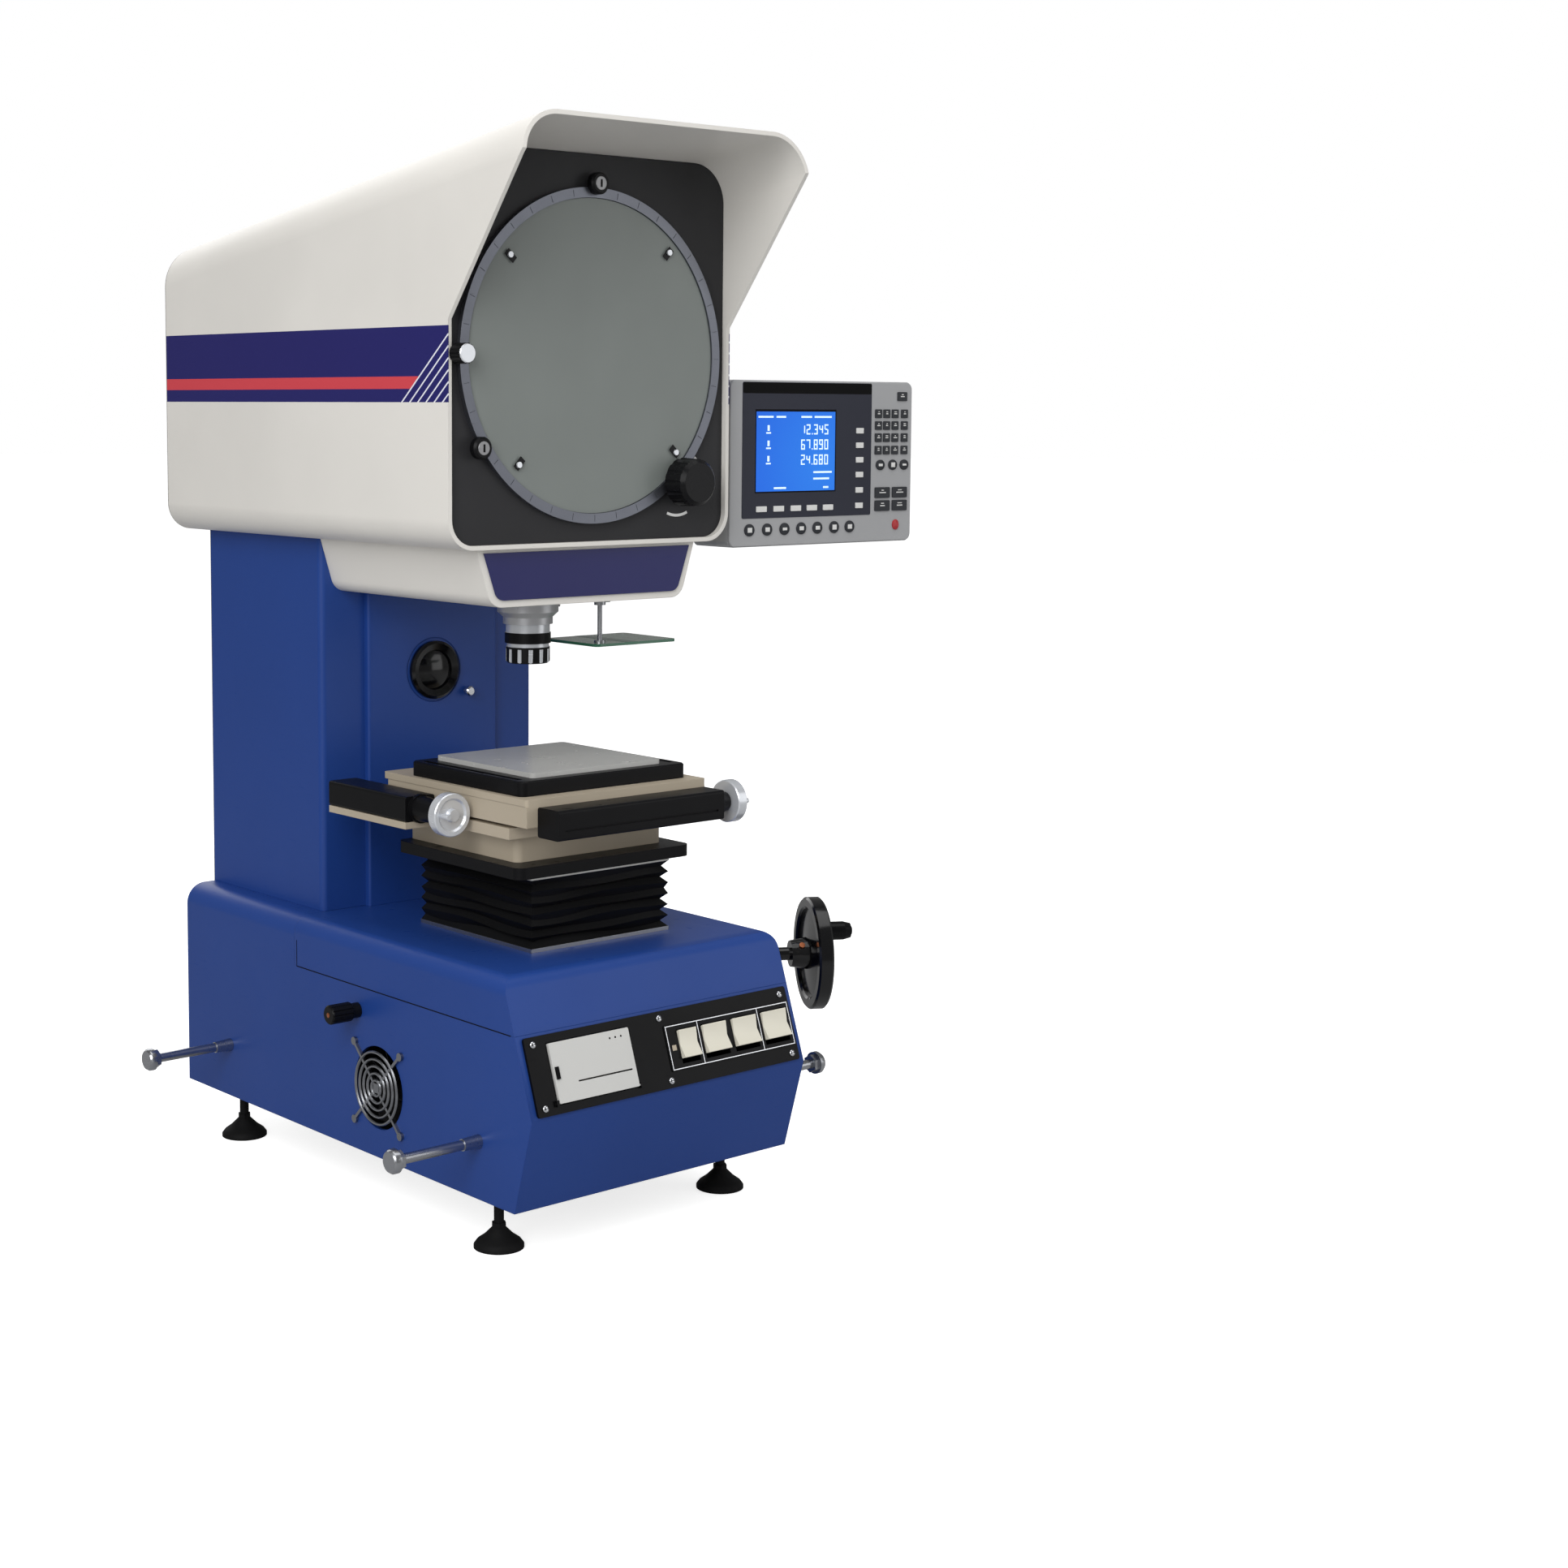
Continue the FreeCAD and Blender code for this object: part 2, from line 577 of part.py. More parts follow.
def head_tube(inset, y_front, y_rear):
    """The head's rounded section, its roof rising to the front, before the hood's slanted cut."""
    half = HEAD_HALF - inset
    lift = inset / cos(atan2(HEAD_RISE, 1.0))
    outline = [(y_rear, HEAD_BOTTOM + inset), (y_rear, head_top(y_rear) - lift),
               (y_front, head_top(y_front) - lift), (y_front, HEAD_BOTTOM + inset)]
    body = across(outline, half)
    side = lambda e: abs(e.BoundBox.XMin) > half - 1 and e.BoundBox.YMax - e.BoundBox.YMin > 1
    body = rounded(body, HEAD_TOP_R - inset, lambda e: side(e) and e.BoundBox.ZMax > HEAD_REAR_TOP - 60)
    return rounded(body, HEAD_BOTTOM_R - inset, lambda e: side(e) and e.BoundBox.ZMax < HEAD_BOTTOM + 60)


def head_housing():
    shell = head_tube(0, HOOD_TIP_Y, HEAD_REAR)
    shell = shell.cut(head_tube(HEAD_WALL, HOOD_TIP_Y - 5, HEAD_REAR + 5))
    away = HOOD_TIP_Y - 60
    cut = [(HEAD_FRONT, HEAD_BOTTOM - 5), (HEAD_FRONT, HOOD_ROOT_Z), (HOOD_TIP_Y, HOOD_TIP_Z),
           (HOOD_TOP_Y, HOOD_TOP_Z + 8), (away, HOOD_TOP_Z + 8), (away, HEAD_BOTTOM - 5)]
    shell = shell.cut(across(cut, HEAD_HALF + 5))
    shell = shell.cut(box(-NOSE_LOW_HALF + 20, NOSE_LOW_HALF - 20, AXIS_Y - 80, AXIS_Y + 80,
                          HEAD_BOTTOM - 1, HEAD_BOTTOM + HEAD_WALL + 1))
    return shell


def head_rear_cover():
    cover = head_tube(0, HEAD_FRONT, HEAD_REAR + HEAD_COVER)
    cover = cover.cut(box(-HEAD_HALF - 1, HEAD_HALF + 1, HEAD_FRONT - 1, HEAD_REAR,
                          HEAD_BOTTOM - 1, HOOD_TOP_Z + 1))
    back = edges_where(cover, lambda e: e.BoundBox.YMin > HEAD_REAR + HEAD_COVER - 0.01)
    cover = cover.makeChamfer(HEAD_COVER_CHAMFER, back)
    rim = HEAD_TOP_R + HEAD_WALL
    hollow = box(-HEAD_HALF + rim, HEAD_HALF - rim, HEAD_REAR - 1, HEAD_REAR + HEAD_COVER - COVER_WALL,
                 HEAD_BOTTOM + rim, HEAD_REAR_TOP - rim)
    return cover.cut(hollow)


def nose_section(inset):
    return [(-NOSE_TOP_HALF + inset, HEAD_BOTTOM), (-NOSE_LOW_HALF + inset, NOSE_BOTTOM + inset),
            (NOSE_LOW_HALF - inset, NOSE_BOTTOM + inset), (NOSE_TOP_HALF - inset, HEAD_BOTTOM)]


def nose_tube(inset, y_front, y_rear):
    body = prism([(x, y_front, z) for x, z in nose_section(inset)], V(0, y_rear - y_front, 0))
    low = lambda e: along(e, Y) and e.BoundBox.ZMax < NOSE_BOTTOM + inset + 1
    return rounded(body, NOSE_EDGE_R - inset, low)


def lens_nose():
    shell = nose_tube(0, NOSE_FRONT, COL_FRONT)
    shell = shell.cut(nose_tube(NOSE_WALL, NOSE_FRONT + NOSE_WALL, COL_FRONT - NOSE_WALL))
    shell = shell.cut(cyl(LENS_R + 2, NOSE_WALL + 2, (0, AXIS_Y, NOSE_BOTTOM - 1)))
    rod_x, rod_y = HALF_MIRROR_ROD
    return shell.cut(cyl(HALF_MIRROR_ROD_R + RUN, NOSE_WALL + 2, (rod_x, rod_y, NOSE_BOTTOM - 1)))


def nose_front_plate():
    margin = NOSE_PLATE_MARGIN
    plate = nose_tube(margin, NOSE_FRONT - NOSE_PLATE, NOSE_FRONT)
    return plate.cut(box(-HEAD_HALF, HEAD_HALF, NOSE_FRONT - 9, NOSE_FRONT + 9,
                         HEAD_BOTTOM - margin / 2, HEAD_BOTTOM + 9))


def screen_bezel():
    plate = head_tube(HEAD_WALL + GAP, HOOD_TIP_Y, HEAD_REAR)
    plate = plate.common(box(-HEAD_HALF, HEAD_HALF, BEZEL_FACE, BEZEL_FACE + BEZEL_PLATE,
                             HEAD_BOTTOM, HOOD_TOP_Z))
    plate = plate.cut(cyl(RING_BODY_R + 0.5, 40, (0, BEZEL_FACE - 20, SCREEN_Z), Y))
    for name, angle, pin in keeper_places():
        x, z = polar(KEEPER_RADIUS, angle)
        plate = plate.cut(cyl(pin + RUN, 40, (x, BEZEL_FACE - 20, z), Y))
    return plate


def polar(radius, angle):
    """A place on the screen's face, in X and Z."""
    return radius * cos(radians(angle)), SCREEN_Z + radius * sin(radians(angle))


def keeper_places():
    rollers = [(name, angle, KEEPER_PIN_R) for name, angle in ROLLER_ANGLES]
    return rollers + [("ring_drive_knob", DRIVE_KNOB_ANGLE, DRIVE_PIN_R),
                      ("ring_lock_knob", LOCK_KNOB_ANGLE, KEEPER_PIN_R)]


def projection_mirrors():
    """Two mirrors on sheet shelves that reach the head's side walls."""
    reach = HEAD_HALF - HEAD_WALL - GAP
    room = head_tube(HEAD_WALL + GAP, HOOD_TIP_Y, HEAD_REAR)
    pieces = []
    for y, z, tip, (half, length) in ((AXIS_Y, MIRROR_LOW_Z, MIRROR_LOW_TIP, MIRROR_LOW_SIZE),
                                      (MIRROR_BACK_Y, SCREEN_Z, MIRROR_BACK_TIP, MIRROR_BACK_SIZE)):
        shelf = box(-reach, reach, -length / 2 - SHELF_RIM, length / 2 + SHELF_RIM, -SHELF_THICK, 0)
        for x in (-half - SHELF_SLOT, half + SHELF_SLOT):
            slot = round_box(x - SHELF_SLOT / 2, x + SHELF_SLOT / 2, -length / 2 + SHELF_RIM,
                             length / 2 - SHELF_RIM, -SHELF_THICK - 1, 1, 6)
            shelf = shelf.cut(slot)
        glass = box(-half, half, -length / 2, length / 2, 0, MIRROR_GLASS)
        for piece in (shelf, glass):
            piece.rotate(V(0, 0, 0), X, tip)
            piece.translate(V(0, y, z))
            pieces.append(piece.common(room))
    return Part.makeCompound(pieces)


# Optics: lens, half mirror, the two lights
def lens_mount():
    top = NOSE_BOTTOM - SEAT
    profile = [(LENS_GLASS_R + 1, top), (FLANGE_R, top), (FLANGE_R, top - FLANGE_THICK * 0.55),
               (FLANGE_R - 6, top - FLANGE_THICK * 0.75), (FLANGE_R - 6, top - FLANGE_THICK),
               (LENS_GLASS_R + 1, top - FLANGE_THICK)]
    mount = turned([(r, h - top) for r, h in profile], (0, AXIS_Y, top))
    for k in range(3):
        a = radians(90 + 120 * k)
        screw = cyl(3, 5, (FLANGE_R * cos(a) * 0.9, AXIS_Y + FLANGE_R * sin(a) * 0.9, top - 8),
                    V(cos(a), sin(a), 0))
        mount = mount.fuse(screw)
    return mount.removeSplitter()


def objective_lens():
    """Barrel in stepped rings, its lower ring knurled by upright flutes, with a glass at each end."""
    top = NOSE_BOTTOM - FLANGE_THICK - SEAT
    r = LENS_R
    profile = [(LENS_GLASS_R, 0), (r - 1, 0), (r - 1, -9), (r, -9), (r, -20), (r - 2, -20), (r - 2, -24),
               (r - 1, -24), (r - 1, -LENS_LENGTH + 2), (r - 3, -LENS_LENGTH), (LENS_GLASS_R, -LENS_LENGTH)]
    barrel = turned(profile, (0, AXIS_Y, top))
    for k in range(FLUTES):
        a = 2 * pi * k / FLUTES
        flute = cyl(3.2, LENS_LENGTH - 26, ((r + 1) * cos(a), AXIS_Y + (r + 1) * sin(a), top - LENS_LENGTH))
        barrel = barrel.cut(flute)
    glass = [cyl(LENS_GLASS_R, 3, (0, AXIS_Y, top - h)) for h in (4, LENS_LENGTH - 2)]
    return Part.makeCompound([barrel] + glass)


def half_mirror():
    """Glass plate on a thin upright rod that turns in the nose, so that the plate swings aside."""
    x, y = HALF_MIRROR_ROD
    wide, deep, thick = HALF_MIRROR_SIZE
    rod = cyl(HALF_MIRROR_ROD_R, NOSE_BOTTOM + NOSE_WALL + 6 - HALF_MIRROR_Z, (x, y, HALF_MIRROR_Z))
    collar = tube(6, HALF_MIRROR_ROD_R, 8, (x, y, NOSE_BOTTOM - 8 - GAP))
    screw = cyl(1.8, 9, (x + 4, y, NOSE_BOTTOM - 4 - GAP), X)
    shoe = cyl(6, 3, (x, y, HALF_MIRROR_Z + thick))
    top_stop = cyl(5, 4, (x, y, NOSE_BOTTOM + NOSE_WALL + GAP))
    frame = rod.multiFuse([collar, screw, shoe, top_stop]).cut(
        box(x - 9, x + 9, y - 9, y + 9, HALF_MIRROR_Z - 1, HALF_MIRROR_Z + thick))
    plate = round_box(x - 14, x - 14 + wide, y - 12, y - 12 + deep, HALF_MIRROR_Z, HALF_MIRROR_Z + thick, 6)
    return Part.makeCompound([frame, plate])


def surface_light():
    """Condenser barrel through the column's front, with its domed black lens ring outside."""
    face = COL_FRONT - PANEL_PROUD
    lamp_start, lamp_end = face + LIGHT_BARREL, face + LIGHT_BARREL + LIGHT_LAMP
    barrel = tube(LIGHT_BARREL_R, LIGHT_BARREL_R - 4, LIGHT_BARREL, (0, face, LIGHT_Z), Y)
    ring = turned([(LIGHT_R - 10, 0), (LIGHT_R, 0), (LIGHT_R, LIGHT_PROUD - 2), (LIGHT_R - 3, LIGHT_PROUD),
                   (LIGHT_R - 10, LIGHT_PROUD - 3)], (0, face, LIGHT_Z), Y.negative())
    dome = Part.makeSphere(60, V(0, face + 55, LIGHT_Z)).common(
        cyl(LIGHT_BARREL_R - 4, 12, (0, face - 8, LIGHT_Z), Y))
    wall, half = COL_REAR - COL_WALL, LIGHT_BACK_HALF
    lamp = box(-34, 34, lamp_start, lamp_end, LIGHT_Z - 30, LIGHT_Z + 30)
    back = round_box(-half, half, wall - 20, wall, LIGHT_Z - 40, LIGHT_Z + 40, 4, Y)
    neck = box(-20, 20, lamp_end, wall - 20, LIGHT_Z - 20, LIGHT_Z + 20)
    hanger = box(-COL_HALF + COL_WALL, COL_HALF - COL_WALL, wall - 6, wall, LIGHT_Z - 12, LIGHT_Z + 12)
    body = barrel.multiFuse([ring, lamp, neck, back, hanger]).removeSplitter()
    return Part.makeCompound([body, dome])


def lower_light():
    """Lamp house with cooling fins, mirror box under the stage and the condenser that stands on it."""
    z0 = BASE_BOTTOM + FLOOR_PLATE
    wide, high = LAMP_HALF, LAMP_HIGH
    front, rear = LAMP_Y
    lamp = box(-wide, wide, front, rear, z0, z0 + high)
    for k in range(LAMP_FINS):
        y = front + LAMP_FIN_STEP * (k + 0.75)
        for x in (-wide, wide):
            lamp = lamp.cut(box(x - 8, x + 8, y, y + 6, z0 + 12, z0 + high + 1))
    half, roof = MIRROR_BOX_HALF, z0 + high - 2
    corner = [(AXIS_Y - half, z0), (AXIS_Y + half, z0), (AXIS_Y + half, roof), (AXIS_Y + half - 8, roof),
              (AXIS_Y - half, z0 + MIRROR_BOX_LOW)]
    mirror_box = across(corner, half)
    pipe_start = AXIS_Y + half - 1
    pipe = cyl(LIGHT_PIPE_R, front + 5 - pipe_start, (0, pipe_start, z0 + 62), Y)
    stand = cyl(CONDENSER_R + 4, CONDENSER_TOP - 4 - z0 - 60, (0, AXIS_Y, z0 + 60))
    rim = cyl(CONDENSER_R + 9, 8, (0, AXIS_Y, CONDENSER_TOP - 8))
    body = lamp.multiFuse([mirror_box, pipe, stand, rim]).removeSplitter()
    body = body.cut(cyl(CONDENSER_R, 120, (0, AXIS_Y, z0 + high + 2)))
    lens = cyl(CONDENSER_R, 8, (0, AXIS_Y, CONDENSER_TOP - 12))
    return Part.makeCompound([body, lens])


def power_unit():
    """Transformer on the floor plate and the mains inlet in the back wall."""
    z0 = BASE_BOTTOM + FLOOR_PLATE
    wide, deep, high = CORE_SIZE
    x, y = CORE_MID
    core = box(x - wide / 2, x + wide / 2, y - deep / 2, y + deep / 2, z0 + 10, z0 + high)
    coil = round_box(x - wide / 2 + 12, x + wide / 2 - 12, y - deep / 2 - 10, y + deep / 2 + 10,
                     z0 + 22, z0 + high - 12, 8, X)
    foot = box(x - wide / 2 - 6, x + wide / 2 + 6, y - deep / 2 + 4, y + deep / 2 - 4, z0, z0 + 10)
    transformer = core.multiFuse([coil, foot]).removeSplitter()
    back = COL_REAR + REAR_COVER
    inlet = round_box(INLET_X - INLET_HALF, INLET_X + INLET_HALF, BASE_REAR - 24, back + 1,
                      INLET_Z - INLET_HIGH, INLET_Z + INLET_HIGH, 3, Y)
    flange = round_box(INLET_X - INLET_HALF - 8, INLET_X + INLET_HALF + 8, back, back + 2,
                       INLET_Z - INLET_HIGH - 5, INLET_Z + INLET_HIGH + 5, 3, Y)
    inlet = inlet.fuse(flange).removeSplitter()
    socket = round_box(INLET_X - 11, INLET_X + 11, back - 14, back + 3, INLET_Z - 4, INLET_Z + 16, 3, Y)
    inlet = inlet.cut(socket)
    inlet = inlet.cut(box(INLET_X - 9, INLET_X + 9, back - 6, back + 3, INLET_Z - 20, INLET_Z - 9))
    for x in (-7, 0, 7):
        blade = box(INLET_X + x - 1, INLET_X + x + 1, back - 16, back - 4, INLET_Z + 4, INLET_Z + 8)
        inlet = inlet.fuse(blade)
    return Part.makeCompound([transformer, inlet])


# Cooling fan
def fan_frame():
    inside = -BASE_HALF + BASE_WALL
    half = FAN_SIZE / 2
    body = round_box(inside, inside + FAN_DEPTH, FAN_Y - half, FAN_Y + half, FAN_Z - half, FAN_Z + half, 6, X)
    body = body.cut(cyl(FAN_TIP_R + 2, FAN_DEPTH + 2, (inside - 1, FAN_Y, FAN_Z), X))
    web_x = inside + FAN_DEPTH - 4
    seat = cyl(FAN_HUB_R + 1, 4, (web_x, FAN_Y, FAN_Z), X)
    for k in range(3):
        arm = box(web_x, web_x + 4, FAN_Y - 3, FAN_Y + 3, FAN_Z + FAN_HUB_R - 2, FAN_Z + FAN_TIP_R + 3)
        arm.rotate(V(0, FAN_Y, FAN_Z), X, 45 + 120 * k)
        seat = seat.fuse(arm)
    axle = cyl(2.0, 14, (web_x - 14, FAN_Y, FAN_Z), X)
    for y in (-FAN_HOLE_HALF, FAN_HOLE_HALF):
        for z in (-FAN_HOLE_HALF, FAN_HOLE_HALF):
            body = body.cut(cyl(2.1, FAN_DEPTH + 2, (inside - 1, FAN_Y + y, FAN_Z + z), X))
    return body.multiFuse([seat, axle]).removeSplitter()


def fan_impeller():
    """Hub with swept blades, each one lofted from a steep root to a flatter tip."""
    front = -BASE_HALF + BASE_WALL + 3
    hub = cyl(FAN_HUB_R, 16, (front, FAN_Y, FAN_Z), X)
    hub = hub.cut(cyl(2.0 + RUN, 17, (front + 4, FAN_Y, FAN_Z), X))
    blades = []
    for k in range(FAN_BLADES):
        sections = []
        for radius, pitch, chord, lead in ((FAN_HUB_R - 1.5, 42.0, 15.0, 0.0), (28.0, 34.0, 20.0, 6.0),
                                           (FAN_TIP_R, 26.0, 25.0, 14.0)):
            dx, dy = sin(radians(pitch)) * chord / 2, cos(radians(pitch)) * chord / 2
            mid_x, thick = front + 8.5, 0.8
            corners = [(mid_x - dx, lead - dy - thick, radius), (mid_x - dx, lead - dy + thick, radius),
                       (mid_x + dx, lead + dy + thick, radius), (mid_x + dx, lead + dy - thick, radius)]
            points = [V(x, FAN_Y + y, FAN_Z + r) for x, y, r in corners]
            sections.append(Part.makePolygon(points + points[:1]))
        blade = Part.makeLoft(sections, True, True)
        blade.rotate(V(0, FAN_Y, FAN_Z), X, 360.0 * k / FAN_BLADES)
        blades.append(blade)
    reach = cyl(FAN_TIP_R, 16, (front, FAN_Y, FAN_Z), X)
    return hub.multiFuse([b.common(reach) for b in blades]).removeSplitter()


def six_angles():
    return [k * pi / 3 for k in range(6)]


def fan_guard():
    """Rings of wire on two crossing arms, screwed over the fan's opening."""
    x = -BASE_HALF - GUARD_WIRE
    rings = []
    for k in range(GUARD_RINGS):
        radius = 8 + (FAN_OPENING_R - 6 - 8) * k / (GUARD_RINGS - 1)
        wire = [(radius + GUARD_WIRE * cos(a), GUARD_WIRE * sin(a)) for a in six_angles()]
        rings.append(turned(wire, (x - GUARD_LAP, FAN_Y, FAN_Z), X))
    reach = hypot(FAN_HOLE_HALF, FAN_HOLE_HALF)
    for k in range(4):
        arm = box(x - GUARD_WIRE, x + GUARD_WIRE, FAN_Y - 1.6, FAN_Y + 1.6, FAN_Z, FAN_Z + reach)
        arm.rotate(V(0, FAN_Y, FAN_Z), X, 45 + 90 * k)
        rings.append(arm)
        a = radians(45 + 90 * k)
        y, z = FAN_Y + reach * sin(a), FAN_Z + reach * cos(a)
        eye = cyl(4.2, 2 * GUARD_WIRE, (-BASE_HALF - 2 * GUARD_WIRE, y, z), X)
        rings.append(eye)
    rings.append(cyl(5, 2 * GUARD_WIRE, (-BASE_HALF - 2 * GUARD_WIRE, FAN_Y, FAN_Z), X))
    return rings[0].multiFuse(rings[1:])


# Control panel with its printer and rocker switches, drawn flat and laid on the slope
def control_panel():
    w, h, t = PANEL_WIDTH / 2, PANEL_HEIGHT / 2, PANEL_THICK
    plate = round_box(-w, w, -h, h, 0, t, 3)
    mid, wide, high = PRINTER_MID, PRINTER_WIDTH, PRINTER_HEIGHT
    plate = plate.cut(box(mid - wide / 2, mid + wide / 2, -high / 2, high / 2, -1, t + 1))
    for x, width in rocker_places():
        plate = plate.cut(box(x - width / 2, x + width / 2, -ROCKER_HEIGHT / 2, ROCKER_HEIGHT / 2, -1, t + 1))
    half = SWITCH_FRAME_HEIGHT / 2
    rim = round_box(SWITCH_LEFT, SWITCH_RIGHT, -half, half, t, t + 1.2, 2)
    for x, width in rocker_places():
        rim = rim.cut(box(x - width / 2, x + width / 2, -ROCKER_HEIGHT / 2, ROCKER_HEIGHT / 2, t - 1, t + 2))
        body = box(x - width / 2 - 1.5, x + width / 2 + 1.5, -ROCKER_HEIGHT / 2 - 1.5,
                   ROCKER_HEIGHT / 2 + 1.5, -SWITCH_DEPTH, 0)
        body = body.cut(box(x - width / 2, x + width / 2, -ROCKER_HEIGHT / 2, ROCKER_HEIGHT / 2,
                            -SWITCH_DEPTH + 3, 1))
        pin = cyl(ROCKER_PIN_R, width + 2, (x - width / 2 - 1, 0, -ROCKER_DROP), X)
        plate = plate.multiFuse([body, pin])
    return on_slope(plate.multiFuse([rim] + hinge_ears()).removeSplitter())


def rocker(x, width):
    """One paddle: two faces that meet in a shallow ridge, on a skirt that turns on the switch's pin."""
    half = ROCKER_HEIGHT / 2 - 2.8
    top, dip = PANEL_THICK + 5.0, PANEL_THICK + 2.2
    outline = [(-half, top), (0, dip), (half, top + 1.5), (half - 1.5, -4), (6, -ROCKER_DROP - 5),
               (-6, -ROCKER_DROP - 5), (-half + 1.5, -4)]
    paddle = prism([(x - width / 2 + 0.6, y, z) for y, z in outline], V(width - 1.2, 0, 0))
    paddle = rounded(paddle, 0.8, lambda e: along(e, X) and e.BoundBox.ZMin > PANEL_THICK + 3)
    paddle.rotate(V(0, 0, -ROCKER_DROP), X, -ROCKER_TILT)
    return on_slope(paddle.cut(cyl(ROCKER_PIN_R + RUN, width + 2, (x - width / 2 - 1, 0, -ROCKER_DROP), X)))


def panel_printer():
    """Printer case behind the panel, with the paper roll's well, a spindle and the hinge ears."""
    mid, w, h = PRINTER_MID, PRINTER_WIDTH / 2 - GAP, PRINTER_HEIGHT / 2 - GAP
    case = box(mid - w, mid + w, -h, h, -PRINTER_DEPTH, PANEL_THICK + 1)
    case = case.cut(box(mid - w + 4, mid + w - 4, -h + 8, h - 4, -PRINTER_DEPTH + 4, PANEL_THICK + 2))
    case = case.cut(box(mid - w, mid + w, -h, h, PANEL_THICK - 3, PANEL_THICK + 2))
    roll = tube(18, 6, 2 * w - 12, (mid - w + 6, 2, -PRINTER_DEPTH + 26), X)
    spindle = cyl(5.8, 2 * w - 6, (mid - w + 3, 2, -PRINTER_DEPTH + 26), X)
    return [on_slope(case.fuse(spindle).removeSplitter()), on_slope(roll)]


def panel_with_printer():
    return Part.makeCompound([control_panel()] + panel_printer())


def door_axis():
    """Y and Z of the door's hinge line, near its lower edge and above the panel."""
    return -PRINTER_HEIGHT / 2 + DOOR_AXIS_UP, PANEL_THICK + DOOR_PIN_R + 0.1


def hinge_ears():
    """Two small lugs beside the printer's door, bored for the pins at its ends."""
    y, z = door_axis()
    ears = []
    for side in (-1, 1):
        inner = PRINTER_MID + side * PRINTER_WIDTH / 2
        x0, x1 = sorted((inner, inner + side * EAR_THICK))
        ear = box(x0, x1, y - EAR_HALF, y + EAR_HALF, PANEL_THICK - 1, z + DOOR_PIN_R + 1)
        ears.append(ear.cut(cyl(DOOR_PIN_R + RUN, EAR_THICK + 2, (x0 - 1, y, z), X)))
    return ears


def printer_door():
    """Flat cover over the roll, with the paper slot near its foot and a finger catch at the left."""
    mid, w, h = PRINTER_MID, PRINTER_WIDTH / 2 - DOOR_ROOM, PRINTER_HEIGHT / 2 - DOOR_ROOM
    z0 = PANEL_THICK - 3 + GAP
    door = round_box(mid - w, mid + w, -h, h, z0, z0 + 5, 1.5)
    door = door.cut(box(mid - w * 0.45, mid + w * 0.9, -h * 0.42, -h * 0.42 + 1.4, z0 - 1, z0 + 6))
    catch = box(mid - w + 2, mid - w + 6, -6, 6, z0 + 5, z0 + 6.5)
    for k in range(3):
        door = door.cut(cyl(1.0, 3, (mid + w * 0.5 + 7 * k, h - 7, z0 + 3)))
    pin = cyl(DOOR_PIN_R, 2 * w + 2 * DOOR_PIN_REACH, (mid - w - DOOR_PIN_REACH, *door_axis()), X)
    return on_slope(door.multiFuse([catch, pin]).removeSplitter())


# Knobs, carrying rods and feet
def knurled(radius, length, start, axis, count, depth=1.0):
    """Round knob with a softened outer end and upright grooves of V section."""
    knob = turned([(0, 0), (radius - 1, 0), (radius, 1), (radius, length - 1.5), (radius - 1.5, length),
                   (0, length)], (0, 0, 0))
    edge = radius + depth
    groove = prism([(radius - depth, 0, -1), (edge, -2 * depth, -1), (edge, 2 * depth, -1)],
                   V(0, 0, length + 2))
    grooves = []
    for k in range(count):
        turned_groove = groove.copy()
        turned_groove.rotate(V(0, 0, 0), Z, 360.0 * k / count)
        grooves.append(turned_groove)
    knob = knob.cut(grooves)
    knob.Placement = FreeCAD.Placement(V(*start), FreeCAD.Rotation(Z, axis))
    return knob


def dimmer_knob():
    out = X.negative()
    grip = knurled(DIMMER_R, DIMMER_LENGTH - 10, (-BASE_HALF - 10, DIMMER_Y, DIMMER_Z), out, 12)
    neck = cyl(DIMMER_R - 2, 10 - GAP, (-BASE_HALF - 10, DIMMER_Y, DIMMER_Z), X)
    stem = cyl(DIMMER_STEM_R, 10 + BASE_WALL + 12, (-BASE_HALF - 10, DIMMER_Y, DIMMER_Z), X)
    keeper = tube(8, DIMMER_STEM_R, 5, (-BASE_HALF + BASE_WALL + GAP, DIMMER_Y, DIMMER_Z), X)
    return grip.multiFuse([neck, stem, keeper]).removeSplitter()


def light_clamp_knob():
    face = COL_FRONT - PANEL_PROUD
    head = knurled(5.5, 8, (CLAMP_X, face - 3, CLAMP_Z), Y.negative(), 8, 0.7)
    stem = cyl(CLAMP_STEM_R, 3 + PANEL_PROUD, (CLAMP_X, face - 3, CLAMP_Z), Y)
    return head.fuse(stem).removeSplitter()


def carry_rods():
    rods = []
    for side in (-1, 1):
        out = X * side
        for y in ROD_PLACES:
            foot = (side * BASE_HALF, y, ROD_Z)
            tip = side * (BASE_HALF + ROD_OUT)
            rod = cyl(ROD_R, ROD_OUT, foot, out)
            sleeve = cone(ROD_SLEEVE_R, ROD_SLEEVE_R - 1, ROD_SLEEVE, foot, out)
            head = turned([(0, 0), (ROD_HEAD_R, 0), (ROD_HEAD_R, 5), (ROD_HEAD_R - 2, 8), (0, 8)],
                          (tip - side * 8, y, ROD_Z), out)
            collar = hexagon(17, 6, (tip - side * 14, y, ROD_Z), out)
            rods.append(rod.multiFuse([sleeve, head, collar]).removeSplitter())
    return Part.makeCompound(rods)


